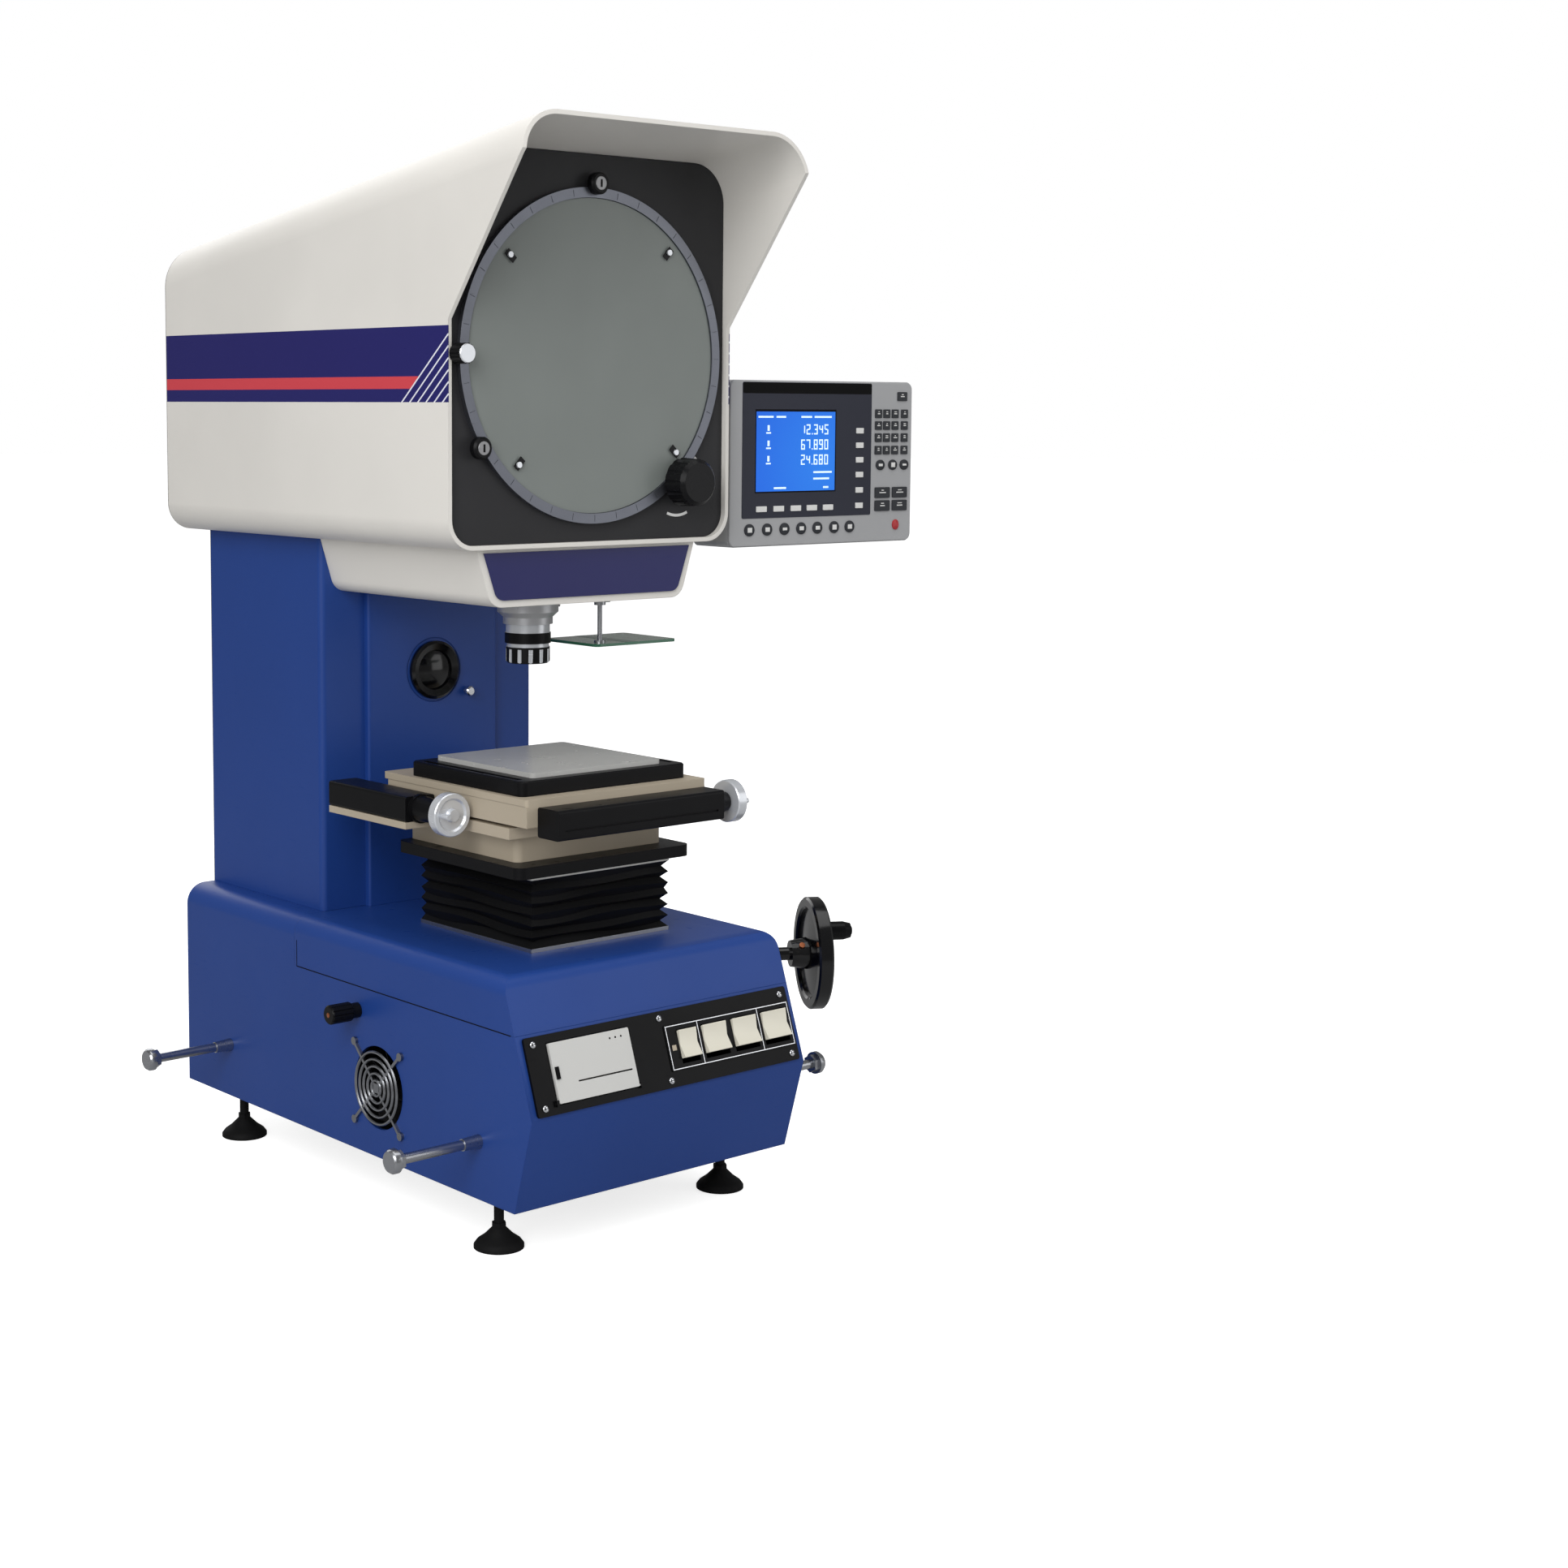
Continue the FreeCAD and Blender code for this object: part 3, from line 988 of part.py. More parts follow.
def foot(x, y):
    """Ball-headed levelling foot: turned pad, stud and the nut that locks it under the floor plate."""
    h = FOOT_PAD_H
    r = FOOT_PAD_R
    pad = turned([(0, 0), (r, 0), (r, 3), (r - 3, 7), (r - 10, 12), (9, h - 2), (7, h), (0, h)], (x, y, 0))
    stud = cyl(FOOT_STUD_R, BASE_BOTTOM + FLOOR_PLATE + 14 - h + 1, (x, y, h - 1))
    collar = hexagon(13, 5, (x, y, h))
    nut = hexagon(17, FOOT_NUT, (x, y, BASE_BOTTOM - FOOT_NUT - GAP))
    return pad.multiFuse([stud, collar, nut]).removeSplitter()


# Screen: turning ring, ground glass, clips, rollers and the two knobs
def screen_ring():
    y = BEZEL_FACE - GAP
    front = -RING_THICK
    profile = [(GLASS_R + GAP, front), (RING_R, front), (RING_R, 0), (RING_BODY_R, 0),
               (RING_BODY_R, RING_BODY_LENGTH), (GLASS_R - GLASS_LEDGE, RING_BODY_LENGTH),
               (GLASS_R - GLASS_LEDGE, GLASS_BACK), (GLASS_R + GAP, GLASS_BACK)]
    ring = turned([(r, -h) for r, h in profile], (0, y, SCREEN_Z), Y.negative())
    for k in range(RING_MARKS):
        a = 2 * pi * k / RING_MARKS
        mark = box(GLASS_R + 2, RING_R - 2, -0.25, 0.25, 0, 1.2)
        mark.rotate(V(0, 0, 0), Z, degrees(a))
        mark.rotate(V(0, 0, 0), X, 90)
        mark.translate(V(0, y - RING_THICK + 0.6, SCREEN_Z))
        ring = ring.cut(mark)
    return ring


def ground_glass():
    return cyl(GLASS_R, GLASS_THICK, (0, BEZEL_FACE - GAP + GLASS_BACK - GLASS_THICK, SCREEN_Z), Y)


def glass_clips():
    """Four small posts on the glass, each with a spring clip for an overlay chart."""
    face = BEZEL_FACE - GAP + GLASS_BACK - GLASS_THICK
    clips = []
    for angle in CLIP_ANGLES:
        x, z = polar(CLIP_RADIUS, angle)
        post = cyl(3.0, 4.0, (x, face, z), Y.negative())
        blade = box(-3.5, 3.5, -8, 5, 0, 0.8)
        blade.rotate(V(0, 0, 0), Z, angle - 90)
        blade.rotate(V(0, 0, 0), X, 90)
        blade.translate(V(x, face - 1.5, z))
        clips.append(post.fuse(blade).removeSplitter())
    return Part.makeCompound(clips)


def keeper_start(gap=GAP):
    return BEZEL_FACE - GAP - RING_THICK - gap


def ring_roller(angle):
    """Flanged roller that holds the ring against the panel and rolls on its rim."""
    x, z = polar(KEEPER_RADIUS, angle)
    y = keeper_start()
    disc = turned([(0, 0), (ROLLER_R, 0), (ROLLER_R, ROLLER_THICK - 2), (ROLLER_R - 2, ROLLER_THICK),
                   (4, ROLLER_THICK), (4, ROLLER_THICK - 2), (0, ROLLER_THICK - 2)], (x, y, z), Y.negative())
    pin = cyl(KEEPER_PIN_R, -y + BEZEL_FACE + BEZEL_PLATE + 4, (x, y, z), Y)
    keeper = tube(6, KEEPER_PIN_R, 2.5, (x, BEZEL_FACE + BEZEL_PLATE + GAP, z), Y)
    slot = box(x - 2.6, x + 2.6, y - ROLLER_THICK - 1, y - ROLLER_THICK + 3.2, z - 0.6, z + 0.6)
    return disc.multiFuse([pin, keeper]).removeSplitter().cut(slot)


def ring_drive_knob():
    x, z = polar(KEEPER_RADIUS, DRIVE_KNOB_ANGLE)
    y = keeper_start(CLIP_ROOM)
    r, length = DRIVE_KNOB_R, DRIVE_KNOB_LENGTH
    knob = turned([(0, 0), (r - 2, 0), (r, 2), (r - 1, length - 4), (r - 5, length), (0, length)],
                  (x, y, z), Y.negative())
    for k in range(DRIVE_FLUTES):
        a = 2 * pi * k / DRIVE_FLUTES
        flute = cyl(3.0, length + 2, (x + (r + 1.4) * cos(a), y + 1, z + (r + 1.4) * sin(a)), Y.negative())
        knob = knob.cut(flute)
    stem = cyl(DRIVE_PIN_R, -y + BEZEL_FACE + BEZEL_PLATE + 6, (x, y, z), Y)
    keeper = tube(8, DRIVE_PIN_R, 3, (x, BEZEL_FACE + BEZEL_PLATE + GAP, z), Y)
    return knob.multiFuse([stem, keeper]).removeSplitter()


def ring_lock_knob():
    x, z = polar(KEEPER_RADIUS, LOCK_KNOB_ANGLE)
    y = keeper_start()
    knob = knurled(LOCK_KNOB_R, LOCK_KNOB_LENGTH, (x, y, z), Y.negative(), 16, 0.8)
    pin = cyl(KEEPER_PIN_R, -y + BEZEL_FACE + BEZEL_PLATE + 4, (x, y, z), Y)
    keeper = tube(6, KEEPER_PIN_R, 2.5, (x, BEZEL_FACE + BEZEL_PLATE + GAP, z), Y)
    return knob.multiFuse([pin, keeper]).removeSplitter()


# Lift: guides, bellows, plate and saddle
def lift_guides():
    """Three ground posts screwed to the floor plate, and the lead screw's foot bearing."""
    z0 = BASE_BOTTOM + FLOOR_PLATE
    pieces = []
    for x, y in POST_PLACES:
        post = cyl(POST_R, POST_TOP - z0, (x, y, z0))
        collar = cyl(POST_R + 8, 14, (x, y, z0))
        pieces.append(post.fuse(collar).removeSplitter())
    block = round_box(SCREW_X - 22, SCREW_X + 22, SCREW_Y - 22, SCREW_Y + 22, z0, z0 + 8, 4)
    tower = cyl(16, SCREW_FOOT - z0, (SCREW_X, SCREW_Y, z0))
    bearing = block.fuse(tower).removeSplitter()
    pieces.append(bearing.cut(cyl(SCREW_R + RUN, 60, (SCREW_X, SCREW_Y, SCREW_FOOT - 40))))
    return Part.makeCompound(pieces)


def fold_ring(half_x, half_y, z):
    points = [V(x, BELLOWS_MID_Y + y, z) for x, y in
              ((-half_x, -half_y), (half_x, -half_y), (half_x, half_y), (-half_x, half_y))]
    return Part.makePolygon(points + points[:1])


def pleats(inset):
    """Square bellows skin: each fold is lofted from a valley out to a ridge and back."""
    z0, z1 = BASE_TOP + TRIM, LIFT_Z - TRIM
    step = (z1 - z0) / (2 * BELLOWS_FOLDS)
    hx, hy = BELLOWS_X / 2 - inset, BELLOWS_DEPTH / 2 - inset
    wires = []
    for k in range(2 * BELLOWS_FOLDS + 1):
        depth = BELLOWS_FOLD_DEPTH if k % 2 == 0 else 0.0
        wires.append(fold_ring(hx - depth, hy - depth, z0 + k * step))
    return Part.makeLoft(wires, True, True)


def bellows():
    return pleats(0.0).cut(pleats(BELLOWS_WALL))


def bellows_frame(z, room):
    hx, hy = BELLOWS_X / 2, BELLOWS_DEPTH / 2
    wall = BELLOWS_FOLD_DEPTH + 5
    frame = box(-hx, hx, BELLOWS_MID_Y - hy, BELLOWS_MID_Y + hy, z, z + TRIM - room)
    return frame.cut(box(-hx + wall, hx - wall, BELLOWS_MID_Y - hy + wall, BELLOWS_MID_Y + hy - wall,
                         z - 1, z + TRIM + 1))


def bellows_lower_frame():
    return bellows_frame(BASE_TOP, SEAT)


def lift_plate():
    """Black plate over the bellows with three long guide sleeves and the lead screw's nut."""
    plate = round_box(-LIFT_HALF, LIFT_HALF, LIFT_FRONT, LIFT_REAR, LIFT_Z, LIFT_Z + LIFT_PLATE, 10)
    plate = plate.fuse(bellows_frame(LIFT_Z - TRIM, SEAT))
    for x, y in POST_PLACES:
        plate = plate.fuse(cyl(SLEEVE_R, SLEEVE_LENGTH, (x, y, LIFT_Z - SLEEVE_LENGTH)))
    plate = plate.fuse(cyl(NUT_R, LIFT_Z - NUT_BOTTOM, (SCREW_X, SCREW_Y, NUT_BOTTOM)))
    for x, y in POST_PLACES:
        post = cyl(POST_R + RUN, SLEEVE_LENGTH + LIFT_PLATE + 2, (x, y, LIFT_Z - SLEEVE_LENGTH - 1))
        plate = plate.cut(post)
    screw = cyl(SCREW_R + RUN, LIFT_Z + LIFT_PLATE - NUT_BOTTOM + 2, (SCREW_X, SCREW_Y, NUT_BOTTOM - 1))
    plate = plate.cut(screw)
    plate = plate.cut(cyl(SCREW_R + 3, 60, (SCREW_X, SCREW_Y, NUT_BOTTOM + 18)))
    return plate.cut(beam_hole(LIFT_Z - 20, LIFT_Z + LIFT_PLATE + 1)).removeSplitter()


def beam_hole(z0, z1, reach_x=0.0, reach_y=0.0):
    """Way for the light, widened by the travel of the pieces that carry it."""
    hx, hy = BEAM_HALF - 8 + reach_x, BEAM_HALF - 8 + reach_y
    return round_box(-hx, hx, AXIS_Y - hy, AXIS_Y + hy, z0, z1, 12)


def stage_saddle():
    """Cast riser and saddle on the lift plate, with a wing under the side feed unit."""
    z0 = LIFT_Z + LIFT_PLATE
    riser = round_box(-RISER_HALF, RISER_HALF, SADDLE_FRONT + 12, SADDLE_REAR - 10, z0, RISER_TOP, 8)
    saddle = box(SADDLE_LEFT, SADDLE_RIGHT - 4, SADDLE_FRONT, SADDLE_REAR, RISER_TOP, SADDLE_TOP)
    width, length, height = FEED_BODY
    wing = box(FEED_X - width / 2, SADDLE_LEFT + 2, FEED_REAR - length, FEED_REAR, RISER_TOP, FEED_Z)
    rib = box(-90, 90, SADDLE_REAR, FEED_REAR - 20, RISER_TOP, FEED_Z)
    link = box(FEED_X, -80, FEED_REAR - 60, FEED_REAR - 20, RISER_TOP, FEED_Z)
    body = riser.multiFuse([saddle, wing, rib, link])
    for x, y in POST_PLACES:
        body = body.cut(cyl(POST_R + 2, 12, (x, y, z0 - 1)))
    body = body.cut(cyl(SCREW_R + 3, RISER_TOP - z0 - 1, (SCREW_X, SCREW_Y, z0 - 1)))
    return body.removeSplitter().cut(beam_hole(z0 - 1, SADDLE_TOP + 1))


def feed_unit_side():
    """Long black scale case at the left with its bright cone, in which the hand wheel's spindle turns."""
    width, length, height = FEED_BODY
    z0 = FEED_Z + SEAT
    half = width / 2
    case = round_box(FEED_X - half, FEED_X + half, FEED_REAR - length, FEED_REAR, z0, z0 + height, 3, Y)
    cone_y = FEED_REAR - length
    mid_z = z0 + height / 2
    snout = cone(14, 10, FEED_CONE_LENGTH, (FEED_X, cone_y, mid_z), Y.negative())
    ring = tube(15, 8, 4, (FEED_X, cone_y, mid_z), Y.negative())
    unit = case.multiFuse([snout, ring]).removeSplitter()
    start = (FEED_X, cone_y - FEED_CONE_LENGTH - 1, mid_z)
    return unit.cut(cyl(KNOB_STEM_R + RUN, FEED_CONE_LENGTH + 24, start, Y))


def feed_unit_front():
    left, right, depth, height = FRONT_FEED
    y1 = CARRIAGE_FRONT
    case = round_box(left, right, y1 - depth, y1, FRONT_FEED_Z, FRONT_FEED_Z + height, 3, X)
    mid = (right, y1 - depth / 2, FRONT_FEED_Z + height / 2)
    snout = cone(14, 10, FRONT_CONE_LENGTH, mid, X)
    case = case.fuse(snout).removeSplitter()
    groove = box(left + 8, right - 8, y1 - depth - 1, y1 - depth + 1.5, FRONT_FEED_Z + 9, FRONT_FEED_Z + 11)
    case = case.cut(groove)
    return case.cut(cyl(KNOB_STEM_R + RUN, FRONT_CONE_LENGTH + 24, (right - 22, mid[1], mid[2]), X))


def feed_knob(start, out, stem):
    """Bright hand wheel with a dished face, a finger crank and the spindle behind it."""
    r, t = FEED_KNOB_R, FEED_KNOB_THICK
    wheel = turned([(0, 0), (r - 1, 0), (r, 1), (r, t - 1), (r - 1, t), (r - 5, t), (r - 7, t - 2),
                    (7, t - 2),
                    (6, t + 3), (0, t + 3)], start, out)
    spindle = cyl(KNOB_STEM_R, stem, start, out.negative())
    side = V(0, 0, 1).cross(out)
    place = V(*start) + out * (t - 2.5) + side * (r - 11) * -1
    crank = Part.makeCylinder(2.6, 12, place, out)
    return wheel.multiFuse([spindle, crank]).removeSplitter()


def feed_knob_side():
    width, length, height = FEED_BODY
    y = FEED_REAR - length - FEED_CONE_LENGTH - GAP
    return feed_knob((FEED_X, y, FEED_Z + height / 2), Y.negative(), FEED_CONE_LENGTH + 20)


def feed_knob_front():
    left, right, depth, height = FRONT_FEED
    start = (right + FRONT_CONE_LENGTH + GAP, CARRIAGE_FRONT - depth / 2, FRONT_FEED_Z + height / 2)
    return feed_knob(start, X, FRONT_CONE_LENGTH + 20)


def cross_carriage():
    """Carriage that slides fore and aft: a block between the feed units under a wider lid."""
    z0, z1 = SADDLE_TOP + GAP, CARRIAGE_TOP
    block = box(SADDLE_LEFT + 0.5, SADDLE_RIGHT, CARRIAGE_FRONT, CARRIAGE_REAR - 8, z0, z1 - CARRIAGE_LID)
    block = block.cut(box(SADDLE_LEFT, -88, CARRIAGE_FRONT - 1, CARRIAGE_REAR, z0 - 1, z0 + 3))
    lid = round_box(-CARRIAGE_SIDE, CARRIAGE_SIDE + 6, CARRIAGE_FRONT, CARRIAGE_REAR,
                    z1 - CARRIAGE_LID, z1, 4)
    body = block.fuse(lid)
    body = body.cut(beam_hole(z0 - 1, z1 + 1, 0, Y_REACH))
    return body.removeSplitter()


def stage_table():
    z0 = CARRIAGE_TOP + GAP
    table = round_box(-TABLE_HALF_X, TABLE_HALF_X, TABLE_FRONT, TABLE_REAR, z0, z0 + TABLE_THICK,
                      TABLE_CORNER_R)
    table = table.makeChamfer(1.5, edges_where(table, lambda e: e.BoundBox.ZMin > z0 + TABLE_THICK - 0.01))
    mid_y = (TABLE_FRONT + TABLE_REAR) / 2
    window = box(-TABLE_WINDOW_X, TABLE_WINDOW_X, mid_y - TABLE_WINDOW_Y, mid_y + TABLE_WINDOW_Y, z0 - 1,
                 z0 + TABLE_THICK + 1)
    table = table.cut(window)
    for x in (-TABLE_HALF_X + 9, TABLE_HALF_X - 9):
        slot = box(x - 3, x + 3, TABLE_FRONT + 14, TABLE_REAR - 14,
                   z0 + TABLE_THICK - 4, z0 + TABLE_THICK + 1)
        table = table.cut(slot)
    return table


def stage_glass():
    z0 = CARRIAGE_TOP + GAP + TABLE_THICK
    mid_y = (TABLE_FRONT + TABLE_REAR) / 2
    half = STAGE_GLASS_HALF
    plate = round_box(-half - 2, half + 2, mid_y - half, mid_y + half, z0, z0 + STAGE_GLASS, 5)
    return plate


# Focus drive: hand wheel, shaft, bearing, mitre gears and lead screw
def place_on_shaft(shape, distance, facing):
    """Move a piece drawn along Z from the origin onto the shaft."""
    turn = FreeCAD.Rotation(Z, facing)
    shape.Placement = FreeCAD.Placement(V(*along_shaft(distance)), turn).multiply(shape.Placement)
    return shape


def focus_handwheel():
    """Dished wheel: a flat-sided rim with softened edges, a thin web and a boss bored for the shaft."""
    outer, inner, half, edge = WHEEL_R, WHEEL_R - WHEEL_RIM_DEPTH, WHEEL_RIM, WHEEL_EDGE
    rim = [(inner, -half + edge), (inner + edge, -half), (outer - edge, -half), (outer, -half + edge),
           (outer, half - edge), (outer - edge, half), (inner + edge, half), (inner, half - edge)]
    rim_ring = turned(rim, (0, 0, 0))
    half_web = WHEEL_WEB / 2
    web = turned([(WHEEL_HUB_R - 1, -half_web - 3), (inner + 1, -half_web), (inner + 1, half_web),
                  (WHEEL_HUB_R - 1, half_web - 2)], (0, 0, 0))
    hub = turned([(0, -WHEEL_HUB_LENGTH), (WHEEL_HUB_R - 3, -WHEEL_HUB_LENGTH), (WHEEL_HUB_R, -8),
                  (WHEEL_HUB_R, 6), (WHEEL_HUB_R - 3, 9), (0, 9)], (0, 0, 0))
    grip_boss = cyl(GRIP_R - 1, 8, (GRIP_RADIUS, 0, -2))
    grip_stem = cyl(GRIP_STEM_R, GRIP_START + GRIP_LENGTH - 3, (GRIP_RADIUS, 0, 5))
    wheel = rim_ring.multiFuse([web, hub]).cut(cyl(SHAFT_R, 60, (0, 0, -WHEEL_HUB_LENGTH - 1)))
    crank = grip_boss.fuse(grip_stem)
    crank.rotate(V(0, 0, 0), Z, CRANK_TURN)
    wheel = wheel.fuse(crank).removeSplitter()
    screw = cyl(3, 8, (WHEEL_HUB_R - 6, 0, -16), X)
    screw.rotate(V(0, 0, 0), Z, 200)
    return place_on_shaft(wheel.fuse(screw).removeSplitter(), 0, WHEEL_DIR)


def crank_grip():
    grip = turned([(GRIP_STEM_R + RUN, 0), (GRIP_R - 2, 0), (GRIP_R, 8), (GRIP_R, GRIP_LENGTH - 8),
                   (GRIP_R - 2, GRIP_LENGTH), (GRIP_STEM_R + RUN, GRIP_LENGTH)],
                  (GRIP_RADIUS, 0, GRIP_START + GAP))
    grip.rotate(V(0, 0, 0), Z, CRANK_TURN)
    return place_on_shaft(grip, 0, WHEEL_DIR)


def mitre_gear(half_step):
    """Straight mitre gear on the Z axis. Its teeth narrow towards the point where the axes cross."""
    shrink = (GEAR_R - GEAR_FACE) / GEAR_R
    root, tip = GEAR_ROOT / sqrt(2), GEAR_TIP / sqrt(2)
    outer, inner = GEAR_R, GEAR_R * shrink
    body = turned([(SCREW_R - 0.5, outer + 4), (outer - 3, outer + 4), (outer - root, outer + root),
                   (inner - root * shrink, inner + root * shrink), (SCREW_R - 0.5, inner + root * shrink)],
                  (0, 0, 0))
    pitch = 2 * pi / GEAR_TEETH
    teeth = []
    for k in range(GEAR_TEETH):
        wires = []
        for r, s in ((outer, 1.0), (inner, shrink)):
            half = pitch * r / 4 - GEAR_BACKLASH * s
            low, high = (root + 0.15) * s, tip * s
            points = [V(r - low, -half * 1.35, r + low), V(r - low, half * 1.35, r + low),
                      V(r + high, half * 0.5, r - high), V(r + high, -half * 0.5, r - high)]
            wires.append(Part.makePolygon(points + points[:1]))
        tooth = Part.makeLoft(wires, True, True)
        tooth.rotate(V(0, 0, 0), Z, degrees(pitch * (k + (0.5 if half_step else 0.0))))
        teeth.append(tooth)
    return body.multiFuse(teeth).removeSplitter()


def focus_shaft():
    """Ground shaft from the wheel to its mitre gear, which stops short of the lead screw."""
    length = SCREW_DISTANCE - GEAR_R + 2
    shaft = cyl(SHAFT_R - 0.01, length - 2, (0, 0, 0))
    shaft.Placement = FreeCAD.Placement(V(*along_shaft(0)), FreeCAD.Rotation(Z, SHAFT_DIR))
    gear = mitre_gear(False)
    gear.rotate(V(0, 0, 0), Z, -WHEEL_TURN)
    gear = gear.fuse(cyl(SCREW_R, 6, (0, 0, GEAR_R - 2)))
    place_on_shaft(gear, SCREW_DISTANCE, WHEEL_DIR)
    return shaft.fuse(gear).removeSplitter()


def wheel_on_shaft():
    return Part.makeCompound([focus_handwheel(), focus_shaft()])


def focus_bearing():
    """Flanged bearing in the deck's side, with a leg down to the floor that carries the shaft's far end."""
    start = along_shaft(BEARING_NEAR - BEARING_LENGTH)
    body = tube(BEARING_R - 3, SHAFT_R + RUN, BEARING_LENGTH + BEARING_INSIDE, start, SHAFT_DIR)
    flange = tube(BEARING_R, SHAFT_R + RUN, BEARING_FLANGE, start, SHAFT_DIR)
    far = SCREW_DISTANCE - 56
    ring = tube(SHAFT_R + 8, SHAFT_R + RUN, 16, along_shaft(far), SHAFT_DIR)
    x, y, z = along_shaft(far + 8)
    leg = box(x - 7, x + 7, y - 7, y + 7, BASE_BOTTOM + FLOOR_PLATE, z - SHAFT_R - 3)
    foot_plate = round_box(x - 16, x + 16, y - 16, y + 16, BASE_BOTTOM + FLOOR_PLATE,
                           BASE_BOTTOM + FLOOR_PLATE + 6, 3)
    post = ring.multiFuse([leg, foot_plate]).removeSplitter()
    return Part.makeCompound([body.fuse(flange).removeSplitter(), post])


def lead_screw():
    """Upright screw with its thread run in the nut, and the mitre gear under the shaft's line."""
    top = SCREW_TOP
    screw = cyl(SCREW_R, top - (SCREW_FOOT - 20), (SCREW_X, SCREW_Y, SCREW_FOOT - 20))
    gear = mitre_gear(True)
    gear.rotate(V(0, 0, 0), X, 180)
    gear.rotate(V(0, 0, 0), Z, -WHEEL_TURN)
    gear.translate(V(SCREW_X, SCREW_Y, SCREW_Z))
    collar = cyl(11, SCREW_Z - GEAR_R - 3 - SCREW_FOOT - GAP, (SCREW_X, SCREW_Y, SCREW_FOOT + GAP))
    return screw.multiFuse([gear, collar]).removeSplitter()


# Readout unit
def readout_arm():
    """Flange on the head's side, a bar out and forward, and the eye that the unit swivels on."""
    x0, z = HEAD_HALF, READ_AXIS_Z
    pivot = READ_MID
    flange = round_box(x0, x0 + 8, ARM_Y - 40, ARM_Y + 40, z - 40, z + 40, 6, X)
    half = ARM_BAR / 2
    bar = box(x0 + 6, pivot + ARM_LEG / 2, ARM_Y - half, ARM_Y + half, z - half, z + half)
    leg = box(pivot - ARM_LEG / 2, pivot + ARM_LEG / 2, READ_AXIS_Y, ARM_Y, z - half, z + half)
    eye = cyl(SWIVEL_PIN_R + 6, ARM_BAR, (pivot, READ_AXIS_Y, z - ARM_BAR / 2))
    brace = [(x0 + 6, ARM_Y - 6, z + 8), (x0 + 46, ARM_Y - 6, z + 8), (x0 + 6, ARM_Y - 6, z + 38)]
    gusset = prism(brace, V(0, 12, 0))
    arm = flange.multiFuse([bar, leg, eye, gusset]).removeSplitter()
    return arm.cut(cyl(SWIVEL_PIN_R + RUN, ARM_BAR + 4, (pivot, READ_AXIS_Y, z - ARM_BAR / 2 - 2)))


def readout_knuckle():
    """Frame round the arm's eye: its upright pin gives the swivel, its side pins give the tilt."""
    inside, wall, deep = KNUCKLE
    x, y, z = READ_MID, READ_AXIS_Y, READ_AXIS_Z
    high = ARM_BAR / 2 + GAP
    reach, rise = inside + wall, high + wall
    frame = box(x - reach, x + reach, y - deep / 2, y + deep / 2, z - rise, z + rise)
    frame = frame.cut(box(x - inside, x + inside, y - deep, y + deep, z - high, z + high))
    pin = cyl(SWIVEL_PIN_R, 2 * (high + wall) + 4, (x, y, z - high - wall - 2))
    frame = frame.fuse(pin)
    for side in (-1, 1):
        start = (x + side * (inside + wall - 0.5), y, z)
        frame = frame.fuse(cyl(SWIVEL_PIN_R, READ_POCKET[0] / 2 - inside - wall + 6, start, X * side))
    return frame.removeSplitter()


def readout_case():
    """Shallow case with a raised rim, a pocket in its back for the knuckle, keys and a display window."""
    x0, x1, z0, z1 = READ_LEFT, READ_RIGHT, READ_BOTTOM, READ_TOP
    y0, y1 = READ_FACE, READ_FACE + READ_DEPTH
    case = round_box(x0, x1, y0, y1, z0, z1, READ_CORNER_R, Y)
    rear = edges_where(case, lambda e: e.BoundBox.YMin > y1 - 0.01)
    case = case.makeChamfer(READ_CORNER_R - 3, rear)
    wide, high, deep = READ_POCKET
    pocket = round_box(READ_MID - wide / 2, READ_MID + wide / 2, y1 - deep, y1 + 1, READ_AXIS_Z - high / 2,
                       READ_AXIS_Z + high / 2, 4, Y)
    case = case.cut(pocket)
    start = (READ_MID - wide / 2 - 8, READ_AXIS_Y, READ_AXIS_Z)
    case = case.cut(cyl(SWIVEL_PIN_R + RUN, wide + 16, start, X))
    window = box(x0 + READ_WINDOW_LEFT, x1 - READ_WINDOW_RIGHT, y0 - 1, y0 + 1.5, z0 + READ_WINDOW_LOW,
                 z1 - READ_WINDOW_TOP)
    case = case.cut(window)
    keys = []
    for row in range(4):
        for col in range(4):
            keys.append((x1 - 54 + 13.5 * col, z1 - 40 - 15.5 * row, 10.0, 9.5))
    for col in range(7):
        keys.append((x0 + 32 + 27 * col, z0 + 19, 15.0, 13.0))
    for col in range(3):
        keys.append((x1 - 48 + 18 * col, z1 - 102, 13.0, 10.0))
    for row in range(2):
        for col in range(2):
            keys.append((x1 - 46 + 26 * col, z0 + 56 - 14 * row, 22.0, 10.0))
    keys.append((x1 - 22, z0 + 18, 12.0, 11.0))
    for kx, kz, kw, kh in keys:
        case = case.fuse(box(kx - kw / 2, kx + kw / 2, y0 - KEY, y0 + 1, kz - kh / 2, kz + kh / 2))
    for k in range(6):
        low = z0 + 40 + 10 * k
        slot = round_box(READ_MID - 110, READ_MID - 50, y1 - 3, y1 + 1, low, low + 3, 1.4, Y)
        case = case.cut(slot)
    return case.removeSplitter()


